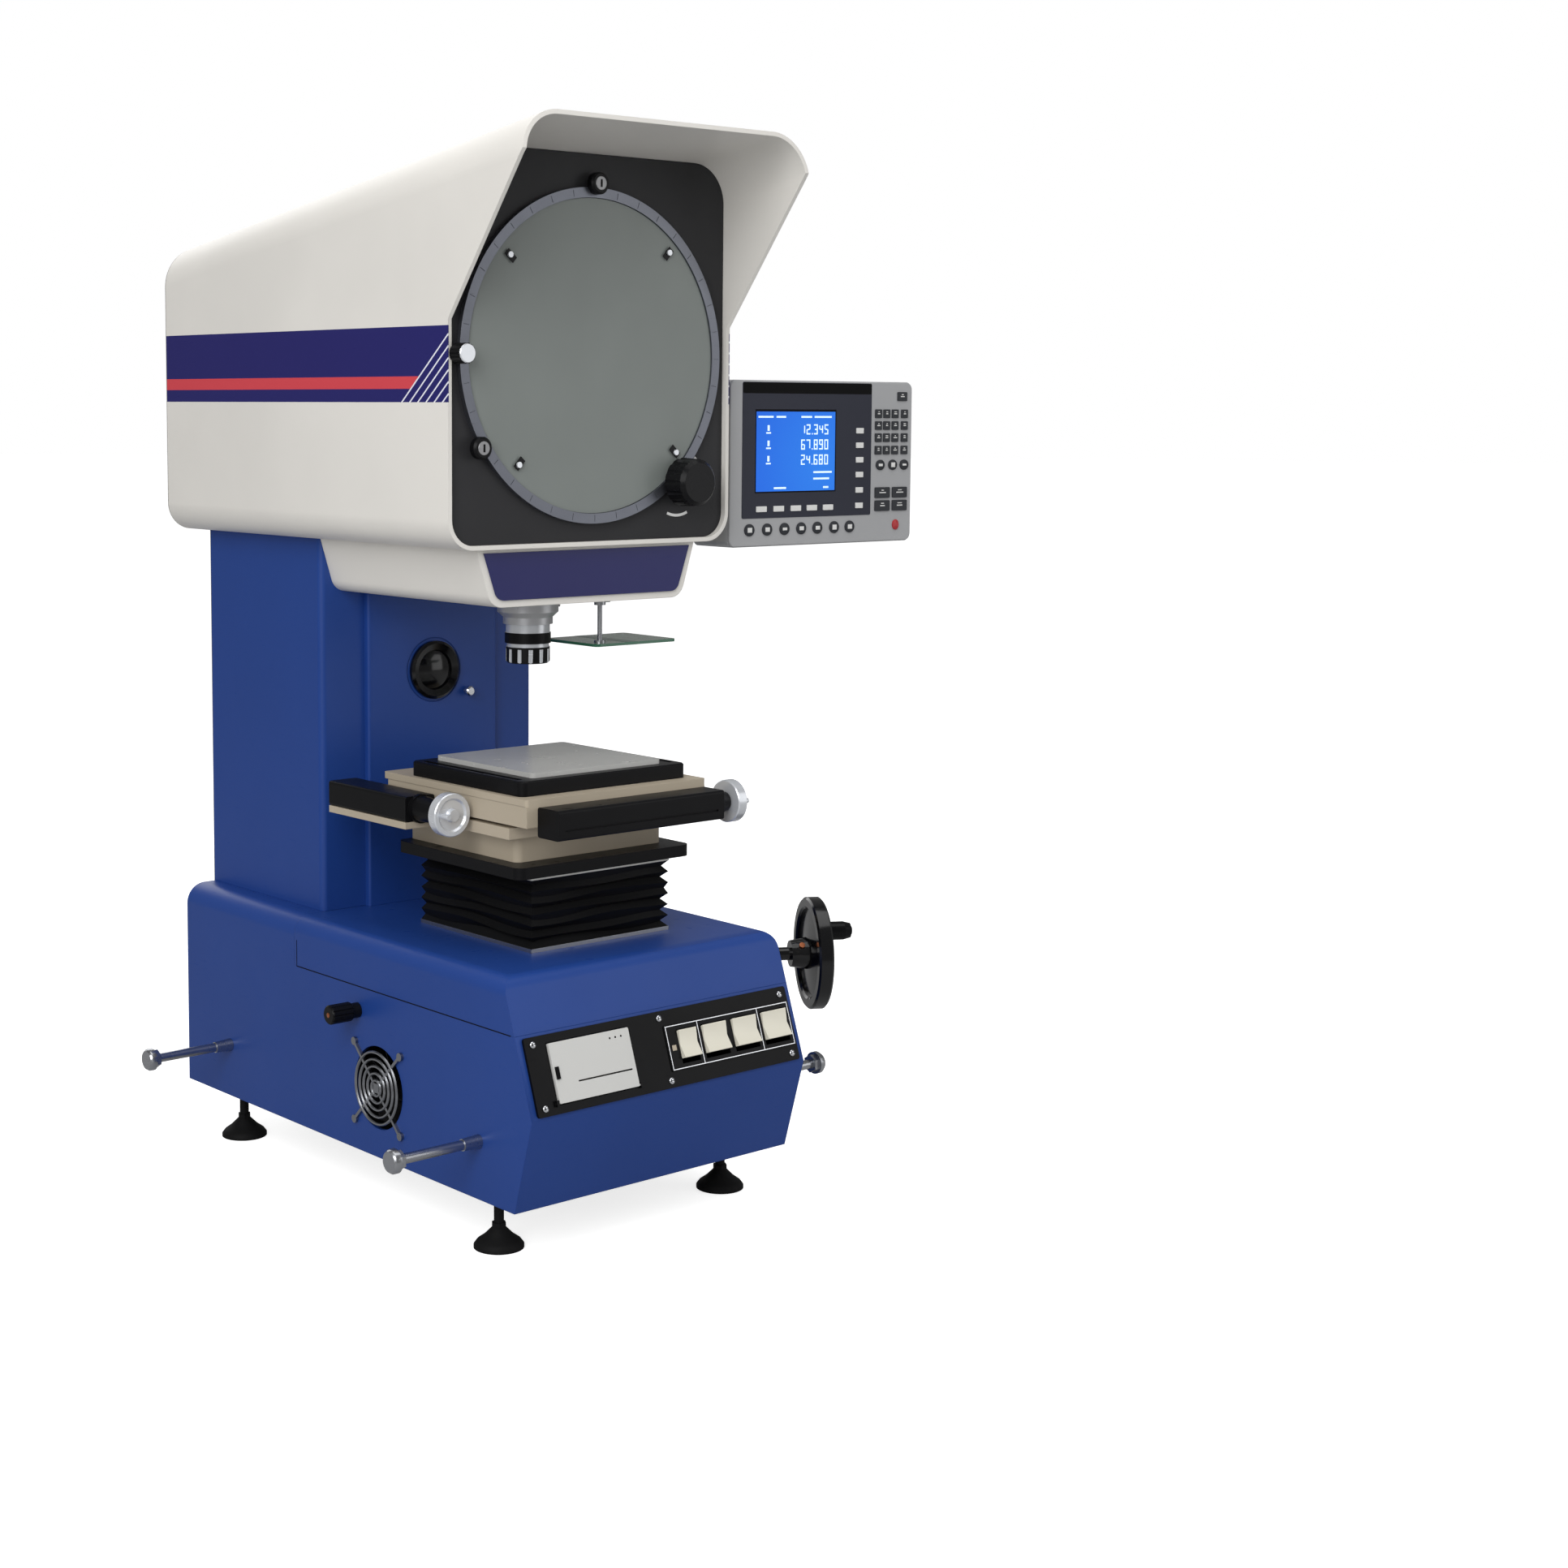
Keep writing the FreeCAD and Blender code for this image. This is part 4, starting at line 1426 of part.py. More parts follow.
# Where the finished pieces stand, and their files
def pieces():
    table = {
        "base_housing": base_housing, "base_deck": base_deck, "base_floor_plate": base_floor_plate,
        "column_housing": column_housing, "column_front_panel": column_front_panel,
        "column_rear_cover": column_rear_cover, "head_housing": head_housing,
        "head_rear_cover": head_rear_cover, "lens_nose": lens_nose, "nose_front_plate": nose_front_plate,
        "screen_bezel": screen_bezel, "projection_mirrors": projection_mirrors, "lens_mount": lens_mount,
        "objective_lens": objective_lens, "surface_light": surface_light, "lower_light": lower_light,
        "power_unit": power_unit, "fan_frame": fan_frame, "fan_guard": fan_guard,
        "control_panel": panel_with_printer, "carry_rods": carry_rods,
        "focus_bearing": focus_bearing, "lift_guides": lift_guides, "bellows": bellows,
        "bellows_lower_frame": bellows_lower_frame, "readout_arm": readout_arm,
        "readout_knuckle": readout_knuckle, "readout_case": readout_case, "screen_ring": screen_ring,
        "ground_glass": ground_glass, "glass_clips": glass_clips, "ring_drive_knob": ring_drive_knob,
        "ring_lock_knob": ring_lock_knob, "focus_handwheel": wheel_on_shaft,
        "crank_grip": crank_grip, "lead_screw": lead_screw, "lift_plate": lift_plate,
        "stage_saddle": stage_saddle, "feed_unit_side": feed_unit_side, "feed_knob_side": feed_knob_side,
        "cross_carriage": cross_carriage, "feed_unit_front": feed_unit_front,
        "feed_knob_front": feed_knob_front, "stage_table": stage_table, "stage_glass": stage_glass,
        "half_mirror": half_mirror, "fan_impeller": fan_impeller, "printer_door": printer_door,
        "dimmer_knob": dimmer_knob, "light_clamp_knob": light_clamp_knob,
    }
    for name, angle in ROLLER_ANGLES:
        table[name] = lambda angle=angle: ring_roller(angle)
    for k, (x, width) in enumerate(rocker_places()):
        table["rocker_%d" % (k + 1)] = lambda x=x, width=width: rocker(x, width)
    for side, x in (("left", -FOOT_X), ("right", FOOT_X)):
        for end, y in zip(("front", "rear"), FOOT_Y):
            table["foot_%s_%s" % (end, side)] = lambda x=x, y=y: foot(x, y)
    return table


def machine_middle():
    """Middle of the whole machine on the bench, which becomes the origin."""
    left = -BASE_HALF - ROD_OUT
    front = NOSE_LINE_Y - PANEL_THICK
    rear = HEAD_REAR + HEAD_COVER
    return V((left + READ_RIGHT) / 2, (front + rear) / 2, 0)


def main():
    os.makedirs("parts", exist_ok=True)
    middle = machine_middle()
    for name, make in pieces().items():
        shape = make()
        shape.translate(middle.negative())
        shape.exportStep(os.path.join("parts", name + ".step"))


main()
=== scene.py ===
"""Finishes and dressed pieces of a bench profile projector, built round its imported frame."""
import json
import math
import random

import bmesh
import bpy
from mathutils import Matrix, Vector


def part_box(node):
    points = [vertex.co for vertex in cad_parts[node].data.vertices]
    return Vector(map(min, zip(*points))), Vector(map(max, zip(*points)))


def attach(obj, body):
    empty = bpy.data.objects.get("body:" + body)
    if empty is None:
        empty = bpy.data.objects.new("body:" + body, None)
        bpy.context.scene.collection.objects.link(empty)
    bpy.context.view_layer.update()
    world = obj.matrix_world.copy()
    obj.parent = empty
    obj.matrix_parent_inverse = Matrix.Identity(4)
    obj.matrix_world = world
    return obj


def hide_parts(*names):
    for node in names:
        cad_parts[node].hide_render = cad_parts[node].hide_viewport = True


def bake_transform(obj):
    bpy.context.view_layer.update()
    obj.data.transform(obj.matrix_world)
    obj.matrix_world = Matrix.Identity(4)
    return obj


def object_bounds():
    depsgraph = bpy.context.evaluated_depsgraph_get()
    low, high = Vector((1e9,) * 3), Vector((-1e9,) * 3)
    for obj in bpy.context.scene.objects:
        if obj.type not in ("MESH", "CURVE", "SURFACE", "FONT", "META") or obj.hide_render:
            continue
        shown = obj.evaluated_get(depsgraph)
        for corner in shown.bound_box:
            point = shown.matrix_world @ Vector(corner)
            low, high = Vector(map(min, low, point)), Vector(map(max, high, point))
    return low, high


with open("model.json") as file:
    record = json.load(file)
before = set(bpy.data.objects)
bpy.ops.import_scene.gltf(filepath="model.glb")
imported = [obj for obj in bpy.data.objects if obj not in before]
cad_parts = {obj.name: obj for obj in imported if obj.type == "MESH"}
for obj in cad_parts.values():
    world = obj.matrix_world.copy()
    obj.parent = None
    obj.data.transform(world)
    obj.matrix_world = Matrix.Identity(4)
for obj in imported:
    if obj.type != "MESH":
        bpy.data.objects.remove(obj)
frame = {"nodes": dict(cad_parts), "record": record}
cad_low, cad_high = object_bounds()
NODES = frame["nodes"]
BODIES = frame["record"]["behaviour"]["bodies"]
BODY_OF = {node: body for body, members in BODIES.items() for node in members}

# Places are written in machine millimetres: x = 0 is the middle of the base, y = 187 the rear of
# the head shell, z = 0 the bench.
MM = 0.001
HEAD_REAR = 187.0
MIDDLE_X = sum(corner.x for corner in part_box("base_housing")) / 2
ZERO_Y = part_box("head_housing")[1].y - HEAD_REAR * MM


def at(x, y, z):
    """A machine place in the row frame, in metres."""
    return Vector((MIDDLE_X + x * MM, ZERO_Y + y * MM, z * MM))


def machine(point):
    """A row frame place as machine millimetres."""
    return Vector(((point.x - MIDDLE_X) / MM, (point.y - ZERO_Y) / MM, point.z / MM))


def node_box(node):
    """A node's lowest and highest corners in machine millimetres."""
    low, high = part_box(node)
    return machine(low), machine(high)


def node_front(node):
    """The middle of a node's front side in machine millimetres."""
    low, high = node_box(node)
    return Vector(((low.x + high.x) / 2, low.y, (low.z + high.z) / 2))


def mesh_of(name, shape):
    """A finished mesh from the faces of shape, which is freed."""
    data = bpy.data.meshes.new(name)
    shape.to_mesh(data)
    shape.free()
    return data


def linked(name, data):
    """A new object in the scene."""
    made = bpy.data.objects.new(name, data)
    bpy.context.scene.collection.objects.link(made)
    return made


# Materials

def srgb(red, green, blue):
    """A colour written as a screen shows it, made linear."""
    def linear(value):
        value /= 255
        return value / 12.92 if value <= 0.04045 else ((value + 0.055) / 1.055) ** 2.4
    return (linear(red), linear(green), linear(blue), 1.0)


class Graph:
    """Short words for adding and joining the nodes of one tree."""

    def __init__(self, tree):
        self.tree = tree
        self.across = 0

    def node(self, kind, settings=None, **inputs):
        made = self.tree.nodes.new(kind)
        made.location = (self.across * 170, 0)
        self.across += 1
        for name, value in (settings or {}).items():
            setattr(made, name, value)
        for name, value in inputs.items():
            self.feed(made, name.replace("_", " "), value)
        return made

    def feed(self, made, name, value):
        socket = made.inputs[int(name[3:])] if name.startswith("in ") else made.inputs[name]
        if isinstance(value, bpy.types.NodeSocket):
            self.tree.links.new(value, socket)
        else:
            socket.default_value = value

    def math(self, operation, *values):
        made = self.node("ShaderNodeMath", {"operation": operation})
        for place, value in enumerate(values):
            self.feed(made, f"in {place}", value)
        return made.outputs[0]

    def between(self, value, low, high):
        """1 where value lies between low and high."""
        above = self.math("GREATER_THAN", value, low)
        below = self.math("LESS_THAN", value, high)
        return self.math("MULTIPLY", above, below)

    def blend(self, share, first, second):
        made = self.node("ShaderNodeMix", {"data_type": "RGBA"})
        self.feed(made, "in 0", share)
        self.feed(made, "in 6", first)
        self.feed(made, "in 7", second)
        return made.outputs[2]


def shader_group(name, inputs, outputs, build):
    """A node group with named inputs (name, kind, default) and outputs (name, kind)."""
    tree = bpy.data.node_groups.new(name, "ShaderNodeTree")
    for label, kind, default in inputs:
        socket = tree.interface.new_socket(label, in_out="INPUT", socket_type=kind)
        if default is not None:
            socket.default_value = default
    for label, kind in outputs:
        tree.interface.new_socket(label, in_out="OUTPUT", socket_type=kind)
    graph = Graph(tree)
    entry = graph.node("NodeGroupInput")
    leave = graph.node("NodeGroupOutput")
    for label, value in build(graph, entry.outputs).items():
        tree.links.new(value, leave.inputs[label])
    return tree


def build_grain(graph, given):
    """Fine texture of a painted, moulded or cast skin, with slow drifts of shade over it."""
    fine = graph.node("ShaderNodeTexNoise", Vector=given["Place"], Scale=given["Fineness"],
                      Detail=2.0, Roughness=0.55).outputs[0]
    cells = graph.node("ShaderNodeTexVoronoi", {"feature": "SMOOTH_F1"}, Vector=given["Place"],
                       Scale=given["Fineness"]).outputs[0]
    slow = graph.node("ShaderNodeTexNoise", Vector=given["Place"], Scale=5.0, Detail=3.0).outputs[0]
    height = graph.math("ADD", graph.math("MULTIPLY", fine, 0.6), graph.math("MULTIPLY", cells, 0.4))
    drift = graph.node("ShaderNodeMapRange", Value=slow, From_Min=0.35, From_Max=0.65).outputs[0]
    shade = graph.blend(drift, given["Dark"], given["Light"])
    return {"Height": height, "Colour": shade}


def build_marks(graph, given):
    """Handling marks: wiped smears and a few fine scratches, as a roughness value."""
    smear = graph.node("ShaderNodeTexNoise", Vector=given["Place"], Scale=given["Smears"],
                       Detail=6.0, Distortion=1.2).outputs[0]
    drawn_out = graph.node("ShaderNodeMapping", Vector=given["Place"], Scale=(3.0, 3.0, 40.0)).outputs[0]
    line = graph.node("ShaderNodeTexNoise", Vector=drawn_out, Scale=18.0, Detail=4.0).outputs[0]
    scratch = graph.math("MULTIPLY", graph.math("GREATER_THAN", line, 0.68), 0.12)
    spread = graph.math("MULTIPLY", graph.math("SUBTRACT", smear, 0.5), given["Spread"])
    rough = graph.math("ADD", graph.math("ADD", given["Roughness"], spread), scratch)
    return {"Roughness": rough}


def build_brushing(graph, given):
    """Hair lines of turned or drawn metal, stretched along one axis."""
    stretched = graph.node("ShaderNodeMapping", Vector=given["Place"], Scale=given["Stretch"]).outputs[0]
    line = graph.node("ShaderNodeTexNoise", Vector=stretched, Scale=1.0, Detail=3.0).outputs[0]
    shade = graph.blend(line, given["Dark"], given["Light"])
    return {"Height": line, "Colour": shade}


VECTOR, COLOUR, VALUE = "NodeSocketVector", "NodeSocketColor", "NodeSocketFloat"
GRAIN = shader_group(
    "skin_grain",
    [("Place", VECTOR, None), ("Fineness", VALUE, 900.0), ("Dark", COLOUR, None), ("Light", COLOUR, None)],
    [("Height", VALUE), ("Colour", COLOUR)], build_grain)
MARKS = shader_group(
    "handling_marks",
    [("Place", VECTOR, None), ("Smears", VALUE, 14.0), ("Spread", VALUE, 0.12), ("Roughness", VALUE, 0.4)],
    [("Roughness", VALUE)], build_marks)
BRUSHING = shader_group(
    "metal_brushing",
    [("Place", VECTOR, None), ("Stretch", VECTOR, None), ("Dark", COLOUR, None), ("Light", COLOUR, None)],
    [("Height", VALUE), ("Colour", COLOUR)], build_brushing)


def shaded(colour, share):
    """The same colour, lighter above 1 or darker below it."""
    return tuple(min(1.0, part * share) for part in colour[:3]) + (1.0,)


def empty_graph(holder):
    """The node tree of a material or a world, emptied."""
    holder.use_nodes = True
    holder.node_tree.nodes.clear()
    return Graph(holder.node_tree)


def start_material(name):
    material = bpy.data.materials.new(name)
    graph = empty_graph(material)
    place = graph.node("ShaderNodeTexCoord").outputs["Object"]
    return material, graph, place


def close_material(graph, bump_height, bump_depth, edge=0.0, **sockets):
    """Adds the surface shader, with a bump of the given height and softened sharp edges."""
    normal = {}
    if edge:
        normal = {"Normal": graph.node("ShaderNodeBevel", {"samples": 4}, Radius=edge).outputs[0]}
    bump = graph.node("ShaderNodeBump", Height=bump_height, Strength=1.0, Distance=bump_depth, **normal)
    shader = graph.node("ShaderNodeBsdfPrincipled", Normal=bump.outputs[0], **sockets)
    graph.node("ShaderNodeOutputMaterial", in_0=shader.outputs[0])


def worn(graph, place, fineness, dark, light, **wear):
    """Grain and handling marks: a height for the bump, a colour and a roughness."""
    grain = graph.node("ShaderNodeGroup", {"node_tree": GRAIN}, Place=place, Fineness=fineness,
                       Dark=dark, Light=light).outputs
    marks = graph.node("ShaderNodeGroup", {"node_tree": MARKS}, Place=place, **wear).outputs
    return grain["Height"], grain["Colour"], marks["Roughness"]


def skin(name, colour, roughness, fineness, depth, spread, drift, edge, **sockets):
    """A painted, moulded or cast surface: a grain of the given fineness and depth in metres, handling
    marks that spread its roughness, a slow drift of shade, and edges softened over a radius."""
    material, graph, place = start_material(name)
    height, shade, rough = worn(graph, place, fineness, shaded(colour, 1 - drift),
                                shaded(colour, 1 + drift), Spread=spread, Roughness=roughness)
    close_material(graph, height, depth, edge, Base_Color=shade, Roughness=rough, **sockets)
    return material


def metal(name, colour, roughness, stretch, depth, contrast, edge):
    """A bare, turned or plated metal, its hair lines drawn out along the axis of the smallest stretch."""
    material, graph, place = start_material(name)
    lines = graph.node("ShaderNodeGroup", {"node_tree": BRUSHING}, Place=place, Stretch=stretch,
                       Dark=shaded(colour, 1 - contrast), Light=shaded(colour, 1 + contrast))
    marks = graph.node("ShaderNodeGroup", {"node_tree": MARKS}, Place=place, Spread=0.15,
                       Roughness=roughness)
    close_material(graph, lines.outputs["Height"], depth, edge, Base_Color=lines.outputs["Colour"],
                   Roughness=marks.outputs["Roughness"], Metallic=1.0)
    return material


# The stripe band along both sides of the head
BAND_LOW, BAND_HIGH = 825.0, 898.0
RED_LOW, RED_HIGH = 838.0, 850.0
SIDE_SKIN = 179.5            # only what lies further out than this is a side face
SLANT = 1.2                  # run of the white lines along y for each millimetre of height
SLANT_START = -273.0         # where the first line meets the band's lower edge
SLANT_PITCH = 13.6
SLANT_COUNT = 6
SLANT_WIDTH = 2.6


def head_enamel():
    """Off-white enamel with a navy band, a red line in it and white slanted lines at its front end."""
    material, graph, place = start_material("head_enamel")
    split = graph.node("ShaderNodeSeparateXYZ", Vector=place).outputs
    side = graph.math("ABSOLUTE", graph.math("SUBTRACT", split[0], MIDDLE_X))
    on_side = graph.math("GREATER_THAN", side, SIDE_SKIN * MM)
    height = graph.math("MULTIPLY", split[2], 1 / MM)
    length = graph.math("MULTIPLY", graph.math("SUBTRACT", split[1], ZERO_Y), 1 / MM)
    band = graph.math("MULTIPLY", on_side, graph.between(height, BAND_LOW, BAND_HIGH))
    rise = graph.math("MULTIPLY", graph.math("SUBTRACT", height, BAND_LOW), SLANT)
    slanted = graph.math("SUBTRACT", SLANT_START + SLANT_WIDTH / 2, graph.math("ADD", length, rise))
    in_lines = graph.between(slanted, 0.0, SLANT_PITCH * SLANT_COUNT)
    phase = graph.math("MODULO", slanted, SLANT_PITCH)
    line = graph.math("MULTIPLY", in_lines, graph.math("LESS_THAN", phase, SLANT_WIDTH))
    behind_lines = graph.math("LESS_THAN", slanted, 0.0)
    red = graph.math("MULTIPLY", behind_lines, graph.between(height, RED_LOW, RED_HIGH))
    relief, shade, rough = worn(graph, place, 700.0, shaded(OFF_WHITE, 0.97), shaded(OFF_WHITE, 1.02),
                                Spread=0.1, Roughness=0.42)
    striped = graph.blend(line, graph.blend(red, NAVY_BAND, RED_LINE), WHITE_LINE)
    coloured = graph.blend(band, shade, striped)
    close_material(graph, relief, 0.00003, 0.001, Base_Color=coloured, Roughness=rough, **SATIN)
    return material


def ground_glass():
    """Frosted screen glass: an even grey-green face with a very fine etched grain."""
    material, graph, place = start_material("ground_glass_face")
    height, shade, rough = worn(graph, place, 1500.0, shaded(FROSTED, 0.94), shaded(FROSTED, 1.05),
                                Smears=5.0, Spread=0.1, Roughness=0.38)
    close_material(graph, height, 0.00001, Base_Color=shade, Roughness=rough, Specular_IOR_Level=0.35)
    return material


def clear_material(name, colour, roughness, clearness, ior=1.5):
    """Clear or tinted glass with faint wipe marks."""
    material, graph, place = start_material(name)
    height, shade, rough = worn(graph, place, 60.0, shaded(colour, 0.92), colour,
                                Smears=20.0, Spread=0.06, Roughness=roughness)
    close_material(graph, height, 0.000002, Base_Color=shade, Roughness=rough,
                   Transmission_Weight=clearness, IOR=ior)
    return material


def lit_screen():
    """A lit liquid crystal display: blue, a little brighter towards the middle."""
    material, graph, place = start_material("lit_display")
    back = tuple(-at(*node_front("readout_case")))
    centred = graph.node("ShaderNodeMapping", Vector=place, Location=back).outputs[0]
    distance = graph.node("ShaderNodeVectorMath", {"operation": "LENGTH"}, in_0=centred).outputs[1]
    share = graph.node("ShaderNodeMapRange", Value=distance, From_Min=0.0, From_Max=0.12).outputs[0]
    colour = graph.blend(share, srgb(36, 140, 255), srgb(16, 112, 248))
    fine = graph.node("ShaderNodeTexNoise", Vector=place, Scale=2500.0).outputs[0]
    shade = graph.blend(share, srgb(12, 48, 110), srgb(6, 34, 90))
    close_material(graph, fine, 0.000003, Base_Color=shade, Roughness=0.25, Specular_IOR_Level=0.2,
                   Emission_Color=colour, Emission_Strength=0.72)
    return material


OFF_WHITE = srgb(230, 227, 221)
NAVY_BAND = srgb(34, 32, 104)
RED_LINE = srgb(214, 70, 80)
WHITE_LINE = srgb(235, 236, 245)
FROSTED = srgb(126, 132, 129)
FIGURE_WHITE = (205, 228, 255)

DULL = {"Specular_IOR_Level": 0.15}
SATIN = {"Specular_IOR_Level": 0.32}
GLOWING = {"Emission_Color": srgb(*FIGURE_WHITE), "Emission_Strength": 0.6}

# Colour, roughness, fineness and depth of the grain, spread of roughness, drift of shade, edge radius
SKINS = {
    "blue_enamel": ((32, 67, 142), 0.4, 650.0, 0.00004, 0.1, 0.03, 0.0012, SATIN),
    "white_enamel": ((230, 227, 221), 0.42, 700.0, 0.00003, 0.1, 0.02, 0.0012, {}),
    "navy_plate": ((30, 32, 92), 0.3, 500.0, 0.00001, 0.08, 0.04, 0.0005, SATIN),
    # Grey for both rear covers; on the head rear cover this grey stands for the white enamel darkened as
    # painted shade.
    "grey_cover": ((158, 156, 150), 0.45, 700.0, 0.00004, 0.1, 0.03, 0.001, {}),
    "black_panel": ((50, 50, 52), 0.46, 1100.0, 0.00003, 0.1, 0.06, 0.0006, DULL),
    "control_black": ((8, 8, 10), 0.34, 900.0, 0.00002, 0.1, 0.08, 0.0004, DULL),
    "black_gloss": ((7, 7, 9), 0.14, 300.0, 0.00001, 0.05, 0.1, 0.0, {}),
    "black_anodised": ((15, 15, 17), 0.36, 1300.0, 0.00002, 0.12, 0.1, 0.0004, DULL),
    "black_rubber": ((22, 22, 23), 0.62, 1200.0, 0.00005, 0.1, 0.1, 0.0004, DULL),
    "black_plastic": ((17, 17, 19), 0.28, 1000.0, 0.00003, 0.1, 0.1, 0.0004, DULL),
    "white_metal": ((196, 197, 200), 0.34, 600.0, 0.00006, 0.12, 0.08, 0.0005, {"Metallic": 0.55}),
    "dial_silver": ((222, 225, 230), 0.24, 900.0, 0.00001, 0.1, 0.03, 0.0004, {"Metallic": 0.45}),
    "tan_casting": ((186, 174, 154), 0.5, 450.0, 0.00008, 0.1, 0.05, 0.001, {}),
    "bellows_black": ((17, 17, 18), 0.55, 1600.0, 0.00006, 0.12, 0.12, 0.0, DULL),
    "ivory_plastic": ((228, 224, 208), 0.32, 900.0, 0.00002, 0.08, 0.02, 0.0006, {}),
    "printer_grey": ((206, 206, 203), 0.42, 1000.0, 0.00003, 0.08, 0.02, 0.0006, {}),
    "readout_grey": ((166, 167, 169), 0.42, 1000.0, 0.00003, 0.08, 0.03, 0.001, {}),
    "readout_dark": ((44, 46, 58), 0.3, 900.0, 0.00001, 0.06, 0.05, 0.0004, DULL),
    "display_white": (FIGURE_WHITE, 0.4, 500.0, 0.000005, 0.05, 0.02, 0.0, GLOWING),
    "white_print": ((226, 226, 224), 0.5, 800.0, 0.00001, 0.05, 0.02, 0.0, {}),
    "key_dark": ((54, 56, 60), 0.4, 1000.0, 0.00002, 0.06, 0.05, 0.0003, DULL),
    "key_red": ((176, 38, 44), 0.36, 1000.0, 0.00002, 0.06, 0.05, 0.0003, {}),
    "glass_edge": ((52, 104, 80), 0.12, 500.0, 0.00001, 0.05, 0.06, 0.0, {}),
    "lamp_metal": ((150, 150, 152), 0.4, 700.0, 0.00004, 0.1, 0.06, 0.0005, {"Metallic": 0.6}),
    "transformer": ((92, 88, 84), 0.5, 500.0, 0.00006, 0.1, 0.08, 0.0, {}),
    "paper": ((236, 235, 230), 0.7, 1400.0, 0.00004, 0.05, 0.02, 0.0, {}),
    "shadow_black": ((8, 8, 9), 0.7, 900.0, 0.00003, 0.05, 0.1, 0.0, DULL),
}

# Colour, roughness, stretch and depth of the lines, contrast, edge radius
METALS = {
    "ring_metal": ((128, 131, 140), 0.45, (700.0, 20.0, 700.0), 0.00001, 0.05, 0.0003),
    "mirror": ((225, 228, 230), 0.05, (3.0, 3.0, 3.0), 0.000001, 0.02, 0.0),
    "chrome": ((222, 224, 228), 0.14, (400.0, 400.0, 400.0), 0.000004, 0.05, 0.0004),
    "steel": ((176, 178, 182), 0.28, (60.0, 900.0, 900.0), 0.00001, 0.1, 0.0004),
    "zinc": ((190, 190, 188), 0.36, (300.0, 300.0, 300.0), 0.00002, 0.12, 0.0005),
    "guard_wire": ((150, 152, 156), 0.3, (500.0, 500.0, 500.0), 0.00001, 0.1, 0.0),
    "copper": ((196, 120, 84), 0.3, (400.0, 400.0, 400.0), 0.00001, 0.1, 0.0),
}

# Materials that aren't named after their finish
MATERIAL_OF = {"mirror": "mirror_silver", "chrome": "bright_chrome", "steel": "turned_steel",
               "zinc": "zinc_plate", "white_metal": "bead_blasted_metal", "bellows_black": "bellows_cloth",
               "copper": "copper_screw", "transformer": "transformer_core", "paper": "paper_roll"}

FINISH = {
    "head_enamel": head_enamel(),
    "ground_glass": ground_glass(),
    "lit_display": lit_screen(),
    "clear_glass": clear_material("stage_clear_glass", srgb(216, 216, 213), 0.24, 0.22),
    "lens_glass": clear_material("lens_glass", srgb(190, 205, 225), 0.03, 0.8, 1.6),
    "tinted_glass": clear_material("half_mirror_glass", srgb(165, 188, 172), 0.05, 0.4),
}
for finish, (colour, *values, sockets) in SKINS.items():
    FINISH[finish] = skin(MATERIAL_OF.get(finish, finish), srgb(*colour), *values, **sockets)
for finish, (colour, *values) in METALS.items():
    FINISH[finish] = metal(MATERIAL_OF.get(finish, finish), srgb(*colour), *values)


# Making pieces

SMOOTH_BELOW = math.radians(38)
ROUND_ABOVE = math.radians(40)
WELD = 0.000002


def distinct(low, high, step, after):
    """The corners of one face between two rings, each once where a ring is only a pole."""
    corners = [low[step % len(low)], low[after % len(low)], high[after % len(high)], high[step % len(high)]]
    return list(dict.fromkeys(corners))


def smooth_object(name, data):
    """An object with smooth curves, kept sharp where faces meet at more than an angle."""
    for polygon in data.polygons:
        polygon.use_smooth = True
    data.set_sharp_from_angle(angle=SMOOTH_BELOW)
    return linked(name, data)


